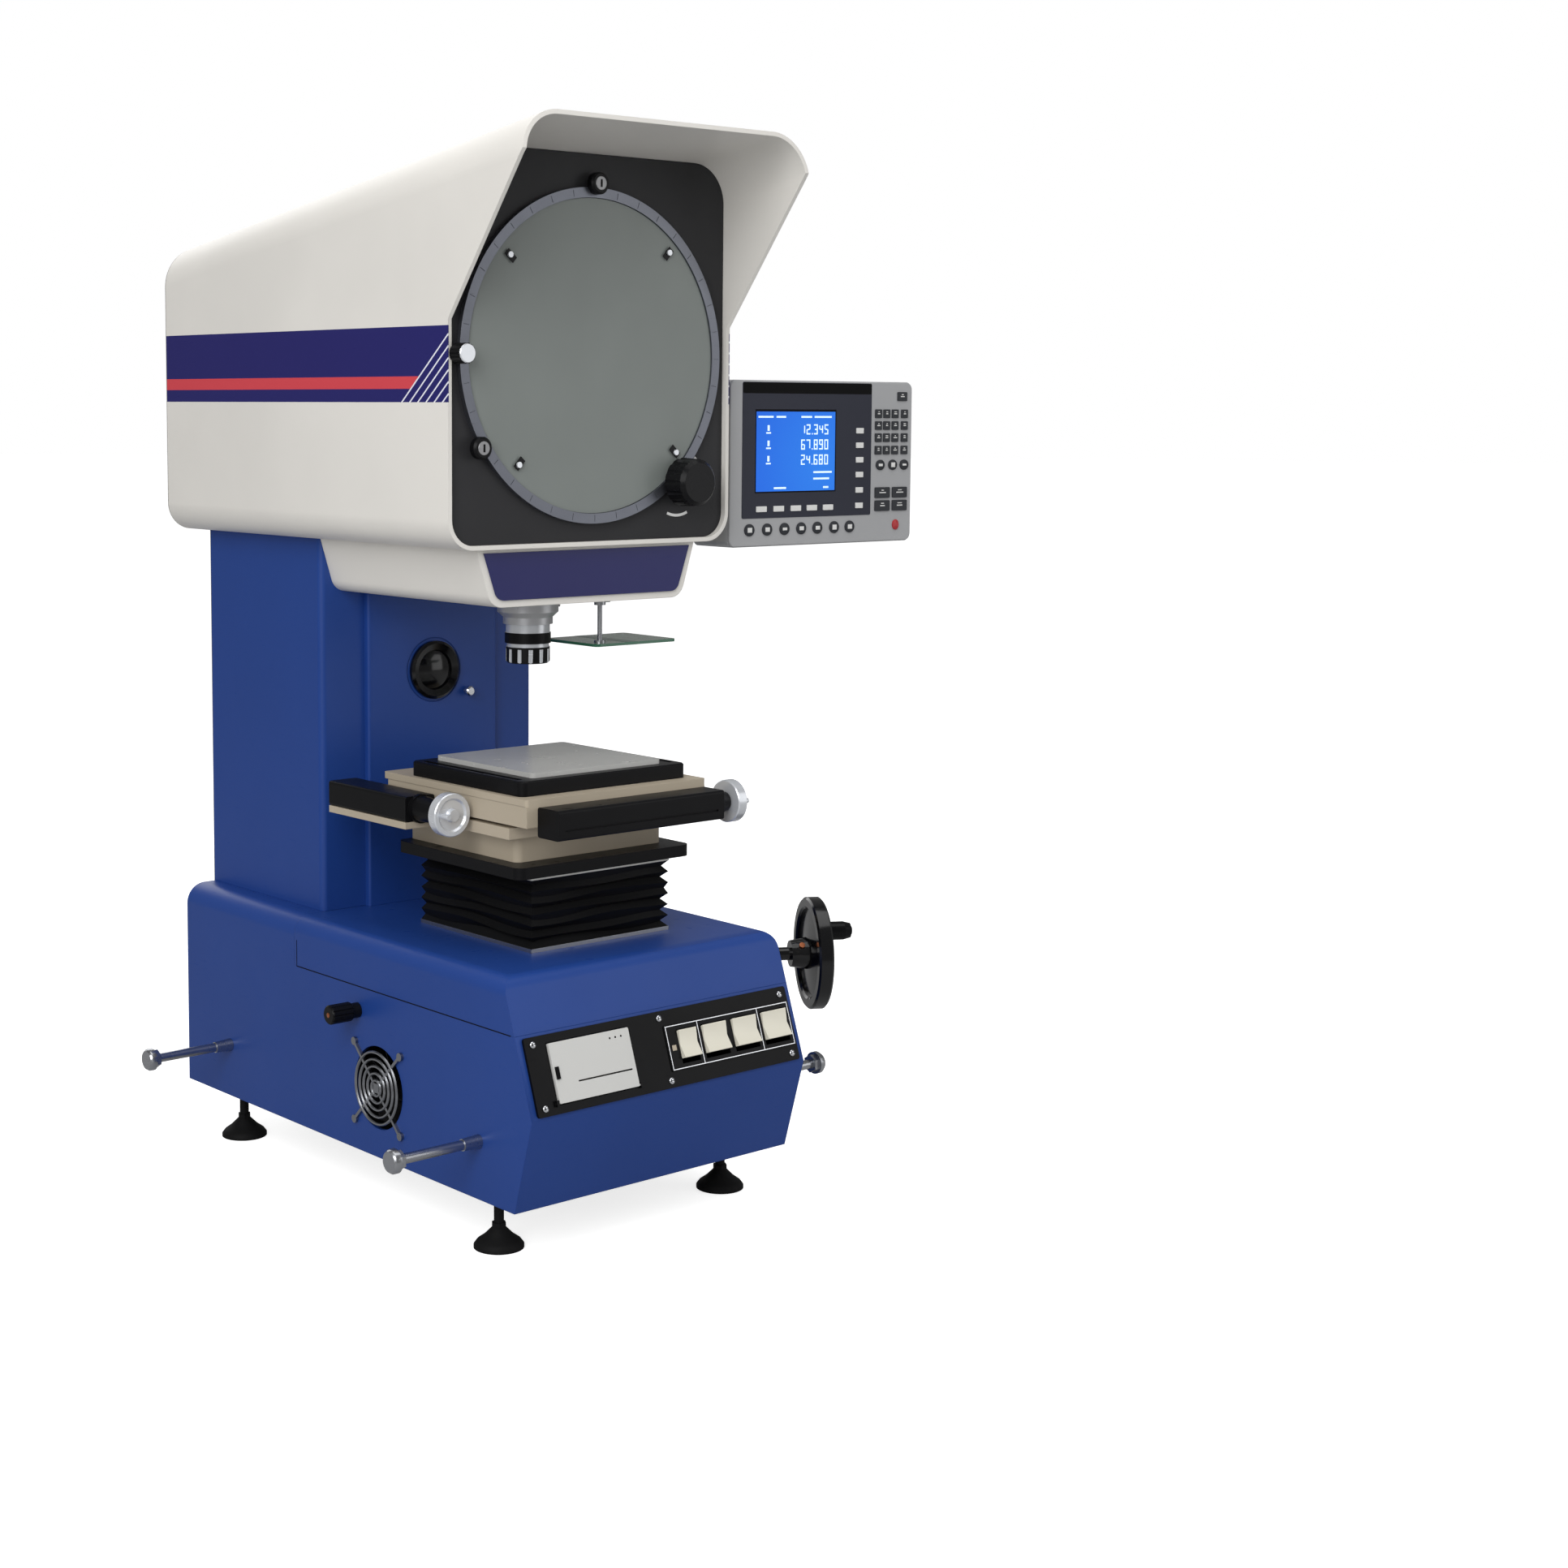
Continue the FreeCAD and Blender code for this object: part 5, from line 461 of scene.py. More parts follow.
class Shape:
    """Faces gathered under one name, each with the finish in use when it was added."""

    def __init__(self):
        self.mesh = bmesh.new()
        self.finishes = []
        self.current = 0

    def use(self, finish):
        if finish not in self.finishes:
            self.finishes.append(finish)
        self.current = self.finishes.index(finish)
        return self

    def face(self, corners):
        made = self.mesh.faces.new(corners)
        made.material_index = self.current
        return made

    def block(self, low, high):
        """A box between two machine places."""
        places = [self.mesh.verts.new(at(x, y, z)) for z in (low[2], high[2])
                  for y in (low[1], high[1]) for x in (low[0], high[0])]
        for corners in ((0, 2, 3, 1), (4, 5, 7, 6), (0, 1, 5, 4), (2, 6, 7, 3), (0, 4, 6, 2), (1, 3, 7, 5)):
            self.face([places[corner] for corner in corners])
        return self

    def slab(self, outline, origin, across, up, thick):
        """A flat shape: outline points (a, b) along across and up from origin, thick along their normal."""
        across, up = Vector(across).normalized(), Vector(up).normalized()
        out = across.cross(up) * thick
        base = [Vector(origin) + across * a + up * b for a, b in outline]
        near = [self.mesh.verts.new(at(*place)) for place in base]
        far = [self.mesh.verts.new(at(*(place + out))) for place in base]
        self.face(near[::-1])
        self.face(far)
        for step, start in enumerate(near):
            after = (step + 1) % len(near)
            self.face([start, near[after], far[after], far[step]])
        return self

    def lathe(self, profile, origin, axis, steps=64, start=0.0):
        """Turns (radius, along) points round an axis. A radius of 0 closes the end in a pole."""
        axis = Vector(axis).normalized()
        side = axis.orthogonal().normalized()
        third = axis.cross(side)
        rows = []
        for radius, along in profile:
            middle = Vector(origin) + axis * along
            if radius == 0:
                rows.append([self.mesh.verts.new(at(*middle))])
                continue
            turned = []
            for step in range(steps):
                angle = start + 2 * math.pi * step / steps
                place = middle + (side * math.cos(angle) + third * math.sin(angle)) * radius
                turned.append(self.mesh.verts.new(at(*place)))
            rows.append(turned)
        for low, high in zip(rows, rows[1:]):
            for step in range(steps):
                after = (step + 1) % steps
                corners = distinct(low, high, step, after)
                if len(corners) > 2:
                    self.face(corners)
        return self

    def copy_node(self, node):
        """The node's own faces, made whole."""
        source = bmesh.new()
        source.from_mesh(NODES[node].data)
        bmesh.ops.remove_doubles(source, verts=source.verts, dist=WELD)
        twin = {vertex: self.mesh.verts.new(vertex.co) for vertex in source.verts}
        for face in source.faces:
            self.face([twin[vertex] for vertex in face.verts])
        source.free()
        return self

    def repaint(self, finish, test):
        """Gives finish to every face whose middle and normal pass the test, in machine millimetres."""
        self.use(finish)
        self.mesh.normal_update()
        for face in self.mesh.faces:
            if test(machine(face.calc_center_median()), face.normal):
                face.material_index = self.current
        return self

    def piece(self, name, body, slot=None, replaces=(), bevel=0.0, outward=False, even=True):
        """Closes the shape into one object, set to ride on a body when one is given, and hides the nodes it
        replaces.
        """
        if outward:
            bmesh.ops.recalc_face_normals(self.mesh, faces=self.mesh.faces)
        data = mesh_of(name, self.mesh)
        for finish in self.finishes:
            data.materials.append(FINISH[finish])
        made = smooth_object(name, data)
        if bevel:
            rounder = made.modifiers.new("edges", "BEVEL")
            rounder.width, rounder.segments, rounder.limit_method = bevel * MM, 2, "ANGLE"
            rounder.angle_limit = ROUND_ABOVE
        if even:
            weigher = made.modifiers.new("shading", "WEIGHTED_NORMAL")
            weigher.keep_sharp = True
        if body:
            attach(made, body)
        if replaces:
            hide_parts(*replaces)
        return made


def refinish(node, finish, slot=None, repaints=()):
    """The node as it is, with smooth curves and its finish. repaints are (finish, test) pairs."""
    shape = Shape().use(finish).copy_node(node)
    for other, test in repaints:
        shape.repaint(other, test)
    return shape.piece(node + "_finished", BODY_OF[node], slot or finish, (node,))


# Nodes that keep their shape and get their finish

PLAIN_FINISH = {
    "blue_enamel": ("base_housing", "base_deck", "column_housing", "column_front_panel"),
    "white_enamel": ("lens_nose",),
    "navy_plate": ("nose_front_plate",),
    # Both rear covers get the grey; on the head rear cover it is white enamel darkened as painted shade.
    "grey_cover": ("column_rear_cover", "head_rear_cover"),
    "black_panel": ("screen_bezel",),
    "mirror": ("projection_mirrors",),
    "white_metal": ("lens_mount",),
    "black_anodised": ("fan_frame", "feed_unit_side", "feed_unit_front", "stage_table", "ring_roller_top",
                       "ring_roller_left"),
    "black_gloss": ("surface_light",),
    "lamp_metal": ("lower_light",),
    "transformer": ("power_unit",),
    "chrome": ("lift_guides", "light_clamp_knob"),
    "steel": ("carry_rods", "lead_screw", "focus_bearing"),
    "zinc": ("base_floor_plate", "bellows_lower_frame"),
    "readout_grey": ("readout_arm", "readout_knuckle", "readout_case"),
    "ring_metal": ("screen_ring",),
    "ground_glass": ("ground_glass",),
    "clear_glass": ("stage_glass",),
    "black_plastic": ("ring_drive_knob", "crank_grip", "dimmer_knob", "fan_impeller"),
    "tan_casting": ("stage_saddle", "cross_carriage"),
    "ivory_plastic": ("rocker_1", "rocker_2", "rocker_3", "rocker_4"),
    "black_rubber": ("foot_front_left", "foot_front_right", "foot_rear_left", "foot_rear_right"),
    "head_enamel": ("head_housing",),
}
SLOT_OF = {"white_metal": "zinc", "black_plastic": "black_anodised",
           "black_rubber": "black_anodised", "head_enamel": "white_enamel"}
for finish, members in PLAIN_FINISH.items():
    for node in members:
        refinish(node, finish, SLOT_OF.get(finish, finish))


# Small parts that repeat, set out on points by one node group

def repeat_group():
    """Sets one item on every point, turned and stretched by the point's own values."""
    tree = bpy.data.node_groups.new("repeat_on_points", "GeometryNodeTree")
    for label, kind, way in (("Points", "NodeSocketGeometry", "INPUT"),
                             ("Item", "NodeSocketObject", "INPUT"),
                             ("Finish", "NodeSocketMaterial", "INPUT"),
                             ("Parts", "NodeSocketGeometry", "OUTPUT")):
        tree.interface.new_socket(label, in_out=way, socket_type=kind)
    graph = Graph(tree)

    def own(name):
        kind = {"data_type": "FLOAT_VECTOR"}
        return graph.node("GeometryNodeInputNamedAttribute", kind, Name=name).outputs[0]

    given = graph.node("NodeGroupInput").outputs
    item = graph.node("GeometryNodeObjectInfo", Object=given["Item"]).outputs["Geometry"]
    turned = graph.node("FunctionNodeEulerToRotation", Euler=own("turn")).outputs[0]
    placed = graph.node("GeometryNodeInstanceOnPoints", Points=given["Points"], Instance=item,
                        Rotation=turned, Scale=own("stretch")).outputs[0]
    whole = graph.node("GeometryNodeRealizeInstances", Geometry=placed).outputs[0]
    painted = graph.node("GeometryNodeSetMaterial", Geometry=whole, Material=given["Finish"]).outputs[0]
    graph.node("NodeGroupOutput", Parts=painted)
    return tree


REPEAT = repeat_group()


def facing(direction):
    """The turn that carries an item's Z axis to a direction."""
    return Vector(direction).to_track_quat("Z", "Y").to_euler()


def repeated(name, body, finish, item, places):
    """One item mesh, drawn in metres round the origin, at many (machine place, direction, stretch)."""
    pattern = linked(name + "_item", item)
    points = bpy.data.meshes.new(name + "_points")
    points.from_pydata([at(*place) for place, direction, stretch in places], [], [])
    turns = points.attributes.new("turn", "FLOAT_VECTOR", "POINT")
    sizes = points.attributes.new("stretch", "FLOAT_VECTOR", "POINT")
    for step, (place, direction, stretch) in enumerate(places):
        turns.data[step].vector = facing(direction)
        sizes.data[step].vector = stretch
    holder = linked(name + "_points", points)
    modifier = holder.modifiers.new("repeat", "NODES")
    modifier.node_group = REPEAT
    sockets = {entry.name: entry.identifier for entry in REPEAT.interface.items_tree
               if entry.in_out == "INPUT"}
    modifier[sockets["Item"]] = pattern
    modifier[sockets["Finish"]] = FINISH[finish]
    bpy.context.view_layer.update()
    settled = holder.evaluated_get(bpy.context.evaluated_depsgraph_get())
    whole = bpy.data.meshes.new_from_object(settled)
    whole.name = name
    for extra in (pattern, holder):
        bpy.data.objects.remove(extra)
    for attribute in ("turn", "stretch"):
        if attribute in whole.attributes:
            whole.attributes.remove(whole.attributes[attribute])
    made = smooth_object(name, whole)
    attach(made, body)


def turned_item(profile, steps=24):
    """A small mesh turned round Z from (radius, height) in millimetres."""
    mesh = bmesh.new()
    rings = []
    for radius, height in profile:
        angles = [2 * math.pi * step / steps for step in range(steps if radius else 1)]
        places = [(radius * math.cos(angle), radius * math.sin(angle), height) for angle in angles]
        rings.append([mesh.verts.new(Vector(place) * MM) for place in places])
    for low, high in zip(rings, rings[1:]):
        for step in range(steps):
            mesh.faces.new(distinct(low, high, step, (step + 1) % steps))
    return mesh_of("turned_item", mesh)


def block_item(wide, deep, high, edge):
    """A small block with softened upper edges, standing on Z = 0."""
    mesh = bmesh.new()
    bmesh.ops.create_cube(mesh, size=1.0)
    for vertex in mesh.verts:
        vertex.co = Vector((vertex.co.x * wide, vertex.co.y * deep, (vertex.co.z + 0.5) * high)) * MM
    upper = [side for side in mesh.edges if sum(end.co.z for end in side.verts) > high * MM]
    bmesh.ops.bevel(mesh, geom=upper, offset=edge * MM, segments=2, affect="EDGES", profile=0.5)
    return mesh_of("block_item", mesh)


PAN_HEAD = ((0, 0.0), (3.0, 0.0), (3.0, 0.7), (2.5, 1.4), (1.4, 1.8), (0, 1.9))
SCREW_SLOT = (4.2, 0.7, 0.25, 0.05)
SLOT_HEIGHT = 1.72


def screws(name, body, places, scale):
    """Round-headed screws, each with a black bar on its head as the painted shade of its slot. places are
    (machine place, direction).
    """
    heads = [(place, direction, (scale, scale, scale)) for place, direction in places]
    repeated(name, body, "chrome", turned_item(PAN_HEAD), heads)
    # painted shade: a black bar on each head stands for the dark of the slot
    slots = [(Vector(place) + Vector(direction).normalized() * SLOT_HEIGHT * scale, direction, stretch)
             for place, direction, stretch in heads]
    repeated(name + "_slots", body, "shadow_black", block_item(*SCREW_SLOT), slots)


# Control panel, drawn flat as (along the panel, up the slope, outwards)
SLOPE_UP = Vector((0, 27.0, 77.0)).normalized()
SLOPE_OUT = Vector((0, -SLOPE_UP.z, SLOPE_UP.y))
SLOPE_MIDDLE = Vector((0, -463.5, 189.5))
PANEL_FACE = 3.0
RIM_FACE = 4.2
FRAME_LEFT, FRAME_RIGHT, FRAME_HALF = 0.0, 168.0, 23.0
LINE_INSET = 1.2
LINE_WIDTH = 0.9
DIVIDERS = (42.55, 123.75)    # left edges
PANEL_SCREWS = ((-160.5, 30.5), (-160.5, -30.5), (160.5, 30.5), (160.5, -30.5), (-3.0, 31.0), (-3.0, -31.0))


def on_slope(along, up, out=PANEL_FACE):
    return SLOPE_MIDDLE + Vector((along, 0, 0)) + SLOPE_UP * up + SLOPE_OUT * out


def flat_on_slope(shape, left, low, right, high, thick):
    """A thin rectangle on the rim round the switches."""
    outline = [(left, low), (right, low), (right, high), (left, high)]
    return shape.slab(outline, on_slope(0, 0, RIM_FACE), (1, 0, 0), SLOPE_UP, thick)


def dress_control_panel():
    """Silver frame lines round the switches, a small lamp and six screws."""
    shape = Shape().use("chrome")
    left, right, half = FRAME_LEFT + LINE_INSET, FRAME_RIGHT - LINE_INSET, FRAME_HALF - LINE_INSET
    inner = half - LINE_WIDTH
    flat_on_slope(shape, left, inner, right, half, 0.25)
    flat_on_slope(shape, left, -half, right, -inner, 0.25)
    for start in (left, *DIVIDERS, right - LINE_WIDTH):
        flat_on_slope(shape, start, -inner, start + LINE_WIDTH, inner, 0.25)
    shape.piece("switch_frame_lines", "frame", "chrome")
    lamp = Shape().use("tan_casting")
    flat_on_slope(lamp, 5.5, -3.0, 11.0, 2.5, 0.3)
    lamp.piece("switch_frame_mark", "frame", "tan_casting", bevel=0.2)
    screws("panel_screws", "frame", [(on_slope(along, up), SLOPE_OUT) for along, up in PANEL_SCREWS], 1.15)


def dress_rear_covers():
    """Screws that hold the two rear covers: node, inset from its edges, and rows of two."""
    places = []
    for node, inset, rows in (("head_rear_cover", 30.0, 2), ("column_rear_cover", 9.0, 4)):
        low, high = node_box(node)
        half = (high.x - low.x - 2 * inset) / 2
        for row in range(rows):
            height = low.z + inset + (high.z - low.z - 2 * inset) * row / (rows - 1)
            places += [((side * half, high.y - 0.9, height), (0, 1, 0)) for side in (-1, 1)]
    screws("rear_cover_screws", "frame", places, 1.1)


dress_control_panel()
dress_rear_covers()


# Bellows: pleated cloth with uneven, slanting creases
PLEATS = 6
SIDE_POINTS = 14
FOLD_DEPTH, FOLD_RIPPLE = 5.0, 1.6
OUTER_TUCK = 0.4
CREASE_LIFT = 0.8            # share of one pleat's height
CREASE_WAVE = 0.45


def dress_bellows():
    """Cloth folded in and out between its two frames, from the base below up to the lift above."""
    random.seed(4)
    low, high = node_box("bellows")
    corners = [(low.x, low.y), (high.x, low.y), (high.x, high.y), (low.x, high.y)]
    middle = Vector(((low.x + high.x) / 2, (low.y + high.y) / 2, 0))
    rows = 2 * PLEATS
    pitch = (high.z - low.z) / rows
    shape = Shape().use("bellows_black")
    rings = []
    tilts = [[(random.uniform(-1.1, 1.1), random.uniform(0, 6.28)) for side in range(4)]
             for fold in range(PLEATS + 1)]
    for row in range(rows + 1):
        inner = row % 2 == 1
        ring = []
        for side in range(4):
            first, second = Vector((*corners[side], 0)), Vector((*corners[(side + 1) % 4], 0))
            slant, wave = tilts[row // 2][side]
            slant += random.uniform(-0.3, 0.3)
            for step in range(SIDE_POINTS):
                share = step / SIDE_POINTS
                place = first.lerp(second, share)
                depth = (FOLD_DEPTH + FOLD_RIPPLE * math.sin(3 * share + wave)) if inner else OUTER_TUCK
                if abs(place.x - middle.x) > 0.999 * (high.x - middle.x):
                    place.x -= math.copysign(depth, place.x - middle.x)
                if abs(place.y - middle.y) > 0.999 * (high.y - middle.y):
                    place.y -= math.copysign(depth, place.y - middle.y)
                rise = slant * (share - 0.5) * 2 + CREASE_WAVE * math.sin(5 * share + wave)
                lift = pitch * CREASE_LIFT * math.sin(math.pi * share) * rise if 0 < row < rows else 0.0
                ring.append(shape.mesh.verts.new(at(place.x, place.y, low.z + pitch * row + lift)))
        rings.append(ring)
    for below, above in zip(rings, rings[1:]):
        for step in range(len(below)):
            shape.face(distinct(below, above, step, (step + 1) % len(below)))
    cloth = shape.piece("bellows_cloth", None, "bellows_black", ("bellows",), even=False)
    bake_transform(cloth)


dress_bellows()


# Readout. Places on it are millimetres from the left and the foot of its case, as the operator sees it
CASE_LOW, CASE_HIGH = node_box("readout_case")
CASE_LEFT, CASE_FOOT = CASE_LOW.x, CASE_LOW.z
CASE_WIDE, CASE_TALL = CASE_HIGH.x - CASE_LOW.x, CASE_HIGH.z - CASE_LOW.z
PLATE_FRONT = CASE_LOW.y - 0.2
PRINT_FRONT = PLATE_FRONT - 0.95
OUTWARD = (0, -1, 0)
FIGURE_ROWS = ("12.345", "67.890", "24.680")
ROW_START, ROW_PITCH = 120.0, 16.4
TEXT_BARS = ((40.5, 138.0, 22.0), (67.0, 138.0, 14.0), (104.0, 138.0, 16.0), (124.0, 138.0, 26.0),
             (123.0, 78.0, 28.0), (123.0, 71.0, 24.0), (64.0, 61.5, 18.0), (138.0, 61.5, 8.0))

# Keys: middle, rise, width and height
SOFT_KEYS = ([(194.0, rise, 11.0, 6.0) for rise in (123.9, 107.9, 91.8, 75.5, 58.4, 41.3)]
             + [(place, 40.3, 15.0, 6.0) for place in (45.9, 71.4, 96.9, 121.2, 145.8)])
SQUARE_KEYS = ([(place, rise, 10.2, 9.6) for place in (223.5, 236.5, 250.0, 265.0)
                for rise in (142.7, 129.6, 116.1, 102.2)]
               + [(place, rise, 23.5, 12.0) for place in (231.0, 258.6) for rise in (54.8, 40.2)]
               + [(261.0, 162.0, 15.0, 10.0)])
ROUND_KEYS = ([(place, 18.2, 7.2, 6.6) for place in (29.0, 55.0, 80.7, 105.8, 130.3, 156.0, 179.9)]
              + [(place, 85.7, 6.8, 5.8) for place in (227.2, 247.1, 265.4)])
RED_KEY = (252.9, 18.5, 5.0, 5.8)
BUTTON = ((1.0, 0.0), (1.0, 1.1), (0.93, 1.4), (0.0, 1.45))


def rounded_outline(left, low, right, high, radius, steps=6):
    points = []
    for x, z, start in ((right - radius, low + radius, -90), (right - radius, high - radius, 0),
                        (left + radius, high - radius, 90), (left + radius, low + radius, 180)):
        for step in range(steps + 1):
            angle = math.radians(start + 90 * step / steps)
            points.append((x + radius * math.cos(angle), z + radius * math.sin(angle)))
    return points


def face_slab(shape, left, low, right, high, front, thick, radius=0.0):
    """A flat shape on the readout's face, its front at y = front."""
    outline = (rounded_outline(left, low, right, high, radius) if radius
               else [(left, low), (right, low), (right, high), (left, high)])
    return shape.slab(outline, (CASE_LEFT, front + thick, CASE_FOOT), (1, 0, 0), (0, 0, 1), thick)


def printed(shape, left, low, wide, tall):
    """A thin printed bar."""
    return face_slab(shape, left, low, left + wide, low + tall, PRINT_FRONT, 0.12)


SEGMENTS = {"0": "abcdef", "1": "bc", "2": "abged", "3": "abgcd", "4": "fgbc", "5": "afgcd", "6": "afgedc",
            "7": "abc", "8": "abcdefg", "9": "abcdfg"}


def digits(shape, text, left, low, tall):
    """Plain seven-bar figures, all of one height."""
    wide, bar = tall * 0.52, tall * 0.13
    half = tall / 2
    bars = {"a": (0, tall - bar, wide, bar), "g": (bar, half - bar / 2, wide - 2 * bar, bar),
            "d": (0, 0, wide, bar), "f": (0, half, bar, half - bar), "b": (wide - bar, half, bar, half - bar),
            "e": (0, bar, bar, half - bar), "c": (wide - bar, bar, bar, half - bar)}
    for mark in text:
        if mark == ".":
            printed(shape, left, low, bar, bar)
            left += bar * 2.2
            continue
        for name in SEGMENTS[mark]:
            along, up, across, high = bars[name]
            printed(shape, left + along, low + up, across, high)
        left += wide + bar * 1.6


def dress_readout_face():
    """Silver face plate, dark panel with a darker head band and display rim, and the lit display."""
    plate = Shape().use("readout_grey")
    face_slab(plate, 0.6, 0.6, CASE_WIDE - 0.6, CASE_TALL - 0.6, PLATE_FRONT, 2.4, 8.0)
    plate.piece("readout_face_plate", "readout", "readout_grey", bevel=0.8)
    left, low, right, high = 18.0, 30.5, 212.5, CASE_TALL - 2.0
    panel = Shape().use("readout_dark")
    face_slab(panel, left, low, right, high, PLATE_FRONT - 0.5, 0.6, 2.0)
    panel.use("shadow_black")
    face_slab(panel, left + 0.5, high - 12.0, right - 0.5, high - 0.5, PLATE_FRONT - 0.6, 0.2, 1.5)
    face_slab(panel, 36.5, 57.5, 157.5, 147.0, PLATE_FRONT - 0.6, 0.2)
    panel.piece("readout_display_panel", "readout", "black_panel", bevel=0.2)
    screen = Shape().use("lit_display")
    face_slab(screen, 37.8, 59.0, 155.6, 144.6, PLATE_FRONT - 0.8, 0.3)
    screen.piece("readout_lit_display", "readout", "black_gloss")


def dress_readout_figures():
    """Three rows of plain figures with a small mark each, and short bars for the lines of text."""
    figures = Shape().use("display_white")
    for row, text in enumerate(FIGURE_ROWS):
        foot = ROW_START - ROW_PITCH * row
        digits(figures, text, 104.0, foot, 11.0)
        printed(figures, 52.0, foot + 1.0, 7.0, 1.6)
        printed(figures, 54.0, foot + 4.0, 3.0, 6.0)
    for left, foot, wide in TEXT_BARS:
        printed(figures, left, foot, wide, 2.0)
    figures.piece("readout_figures", "readout", "white_enamel", even=False)


def key_places(keys, front):
    """(place, rise, width, height) rows of keys, turned to face the operator."""
    return [((CASE_LEFT + place, front, CASE_FOOT + rise), OUTWARD, (wide, tall, 1.0))
            for place, rise, wide, tall in keys]


def dress_readout_keys():
    """Soft keys beside the display, square and round keys with plain marks, and one red key."""
    repeated("readout_soft_keys", "readout", "white_print",
             block_item(1.0, 1.0, 1.1, 0.06), key_places(SOFT_KEYS, PRINT_FRONT + 0.45))
    repeated("readout_square_keys", "readout", "key_dark",
             block_item(1.0, 1.0, 1.3, 0.07), key_places(SQUARE_KEYS, PLATE_FRONT))
    repeated("readout_round_keys", "readout", "key_dark",
             turned_item(BUTTON), key_places(ROUND_KEYS, PLATE_FRONT))
    repeated("readout_red_key", "readout", "key_red",
             turned_item(BUTTON), key_places([RED_KEY], PLATE_FRONT))
    random.seed(7)
    marks = []
    for place, rise, wide, tall in SQUARE_KEYS:
        marks.append((place, rise, wide * random.uniform(0.3, 0.55), 1.1))
        marks.append((place, rise + tall * 0.22, wide * random.uniform(0.15, 0.4), 0.9))
    on_keys = key_places(marks, PLATE_FRONT - 1.3)
    marks = [(place, rise, wide * 0.9, tall * random.uniform(0.3, 0.9))
             for place, rise, wide, tall in ROUND_KEYS]
    on_keys += key_places(marks, PLATE_FRONT - 1.42)
    repeated("readout_key_marks", "readout", "white_print",
             block_item(1.0, 1.0, 0.15, 0.03), on_keys)


dress_readout_face()
dress_readout_figures()
dress_readout_keys()


# Nodes with more than one finish

def local(place, origin, axis):
    """How far a place lies along an axis, and away from it."""
    away = place - Vector(origin)
    along = away.dot(axis)
    return along, (away - axis * along).length


LENS_AXIS = Vector((0, -240.0, 597.0))
UPRIGHT = Vector((0, 0, 1.0))
WHEEL_MIDDLE = (250.0, -415.0, 243.0)
WHEEL_AXIS = Vector((math.cos(math.radians(30.0)), -math.sin(math.radians(30.0)), 0))
DOOR_MIDDLE, DOOR_HALF, DOOR_HIGH = -94.5, 49.5, 29.0
DOOR_SUNK, DOOR_RAISED = 4.9, 5.7
ROLL_Y, ROLL_Z, ROLL_RADIUS, ROLL_HALF = -435.5, 181.8, 18.3, 44.3
MIRROR_TOP = 577.0
SCREEN_PANEL_FACE = -344.0
SEAM = 228.0


def lens_step(place, normal):
    """The bright upper step, the ring under the black band and the hollows of the grip's flutes."""
    along, away = local(place, LENS_AXIS, UPRIGHT)
    return along > -9.2 or -24.0 < along < -20.0 or (20.0 < away < 22.8 and -38.0 < along < -24.0)


def lens_face(place, normal):
    return abs(normal.z) > 0.9 and local(place, LENS_AXIS, UPRIGHT)[1] < 16.0


def hub_screw(place, normal):
    along, away = local(place, WHEEL_MIDDLE, WHEEL_AXIS)
    return along < -12.0 and away > 16.2


def front_of(node, depth):
    """A test for the faces within a depth of the node's front."""
    front = node_front(node).y
    return lambda place, normal: place.y < front + depth


def trim_frame(place, normal):
    return 353.9 < place.z < 358.1 and abs(place.x) < 95.0


def door_dark(place, normal):
    """The finger catch, the paper slot and the three small holes of the printer's door; the sunken faces of
    the slot and the holes are painted black as painted shade.
    """
    away = place - SLOPE_MIDDLE
    up, out = away.dot(SLOPE_UP), away.dot(SLOPE_OUT)
    along = (away.x - DOOR_MIDDLE) / DOOR_HALF
    slot = -14.0 < up < -10.6 and -0.46 < along < 0.91
    hole = abs(up - (DOOR_HIGH - 7.0)) < 1.1 and 0.476 < along < 0.807
    # painted shade on the sunken faces of the slot and the holes
    return out > DOOR_RAISED or (out < DOOR_SUNK and (slot or hole))


def paper_roll(place, normal):
    """The roll behind the printer's door."""
    away = math.hypot(place.y - ROLL_Y, place.z - ROLL_Z)
    return abs(place.x - DOOR_MIDDLE) < ROLL_HALF and away < ROLL_RADIUS


refinish("control_panel", "control_black", "black_panel", (("paper", paper_roll),))
refinish("objective_lens", "black_anodised", repaints=(("dial_silver", lens_step), ("lens_glass", lens_face)))
refinish("half_mirror", "steel", "clear_glass", (
    ("tinted_glass", lambda place, normal: place.z < MIRROR_TOP + 0.05),
    ("glass_edge", lambda place, normal: place.z < MIRROR_TOP and abs(normal.z) < 0.5)))
refinish("glass_clips", "black_plastic", "chrome", (("dial_silver", front_of("glass_clips", 1.2)),))
refinish("ring_lock_knob", "black_plastic", "black_gloss",
         (("dial_silver", front_of("ring_lock_knob", 0.8)),))
refinish("focus_handwheel", "black_gloss", repaints=(("copper", hub_screw),))
refinish("lift_plate", "black_anodised", repaints=(("zinc", trim_frame),))
refinish("printer_door", "printer_grey", repaints=(("shadow_black", door_dark),))
refinish("fan_guard", "guard_wire", "chrome")
for knob in ("feed_knob_side", "feed_knob_front"):
    refinish(knob, "dial_silver", "chrome")


# Small pieces on the rigid nodes

def dress_half_mirror():
    """Dark green coated strip across the plate, on both its faces."""
    strip = Shape().use("glass_edge")
    low, high = node_box("half_mirror")
    for face, thick in ((low.z + 3.0, 0.15), (low.z, -0.15)):
        outline = [(82.7, low.y + 0.4), (97.0, low.y + 0.4), (97.0, high.y - 0.4), (82.7, high.y - 0.4)]
        strip.slab(outline, (0, 0, face), (1, 0, 0), (0, 1, 0), thick)
    strip.piece("half_mirror_strip", "half_mirror", "clear_glass", outward=True)


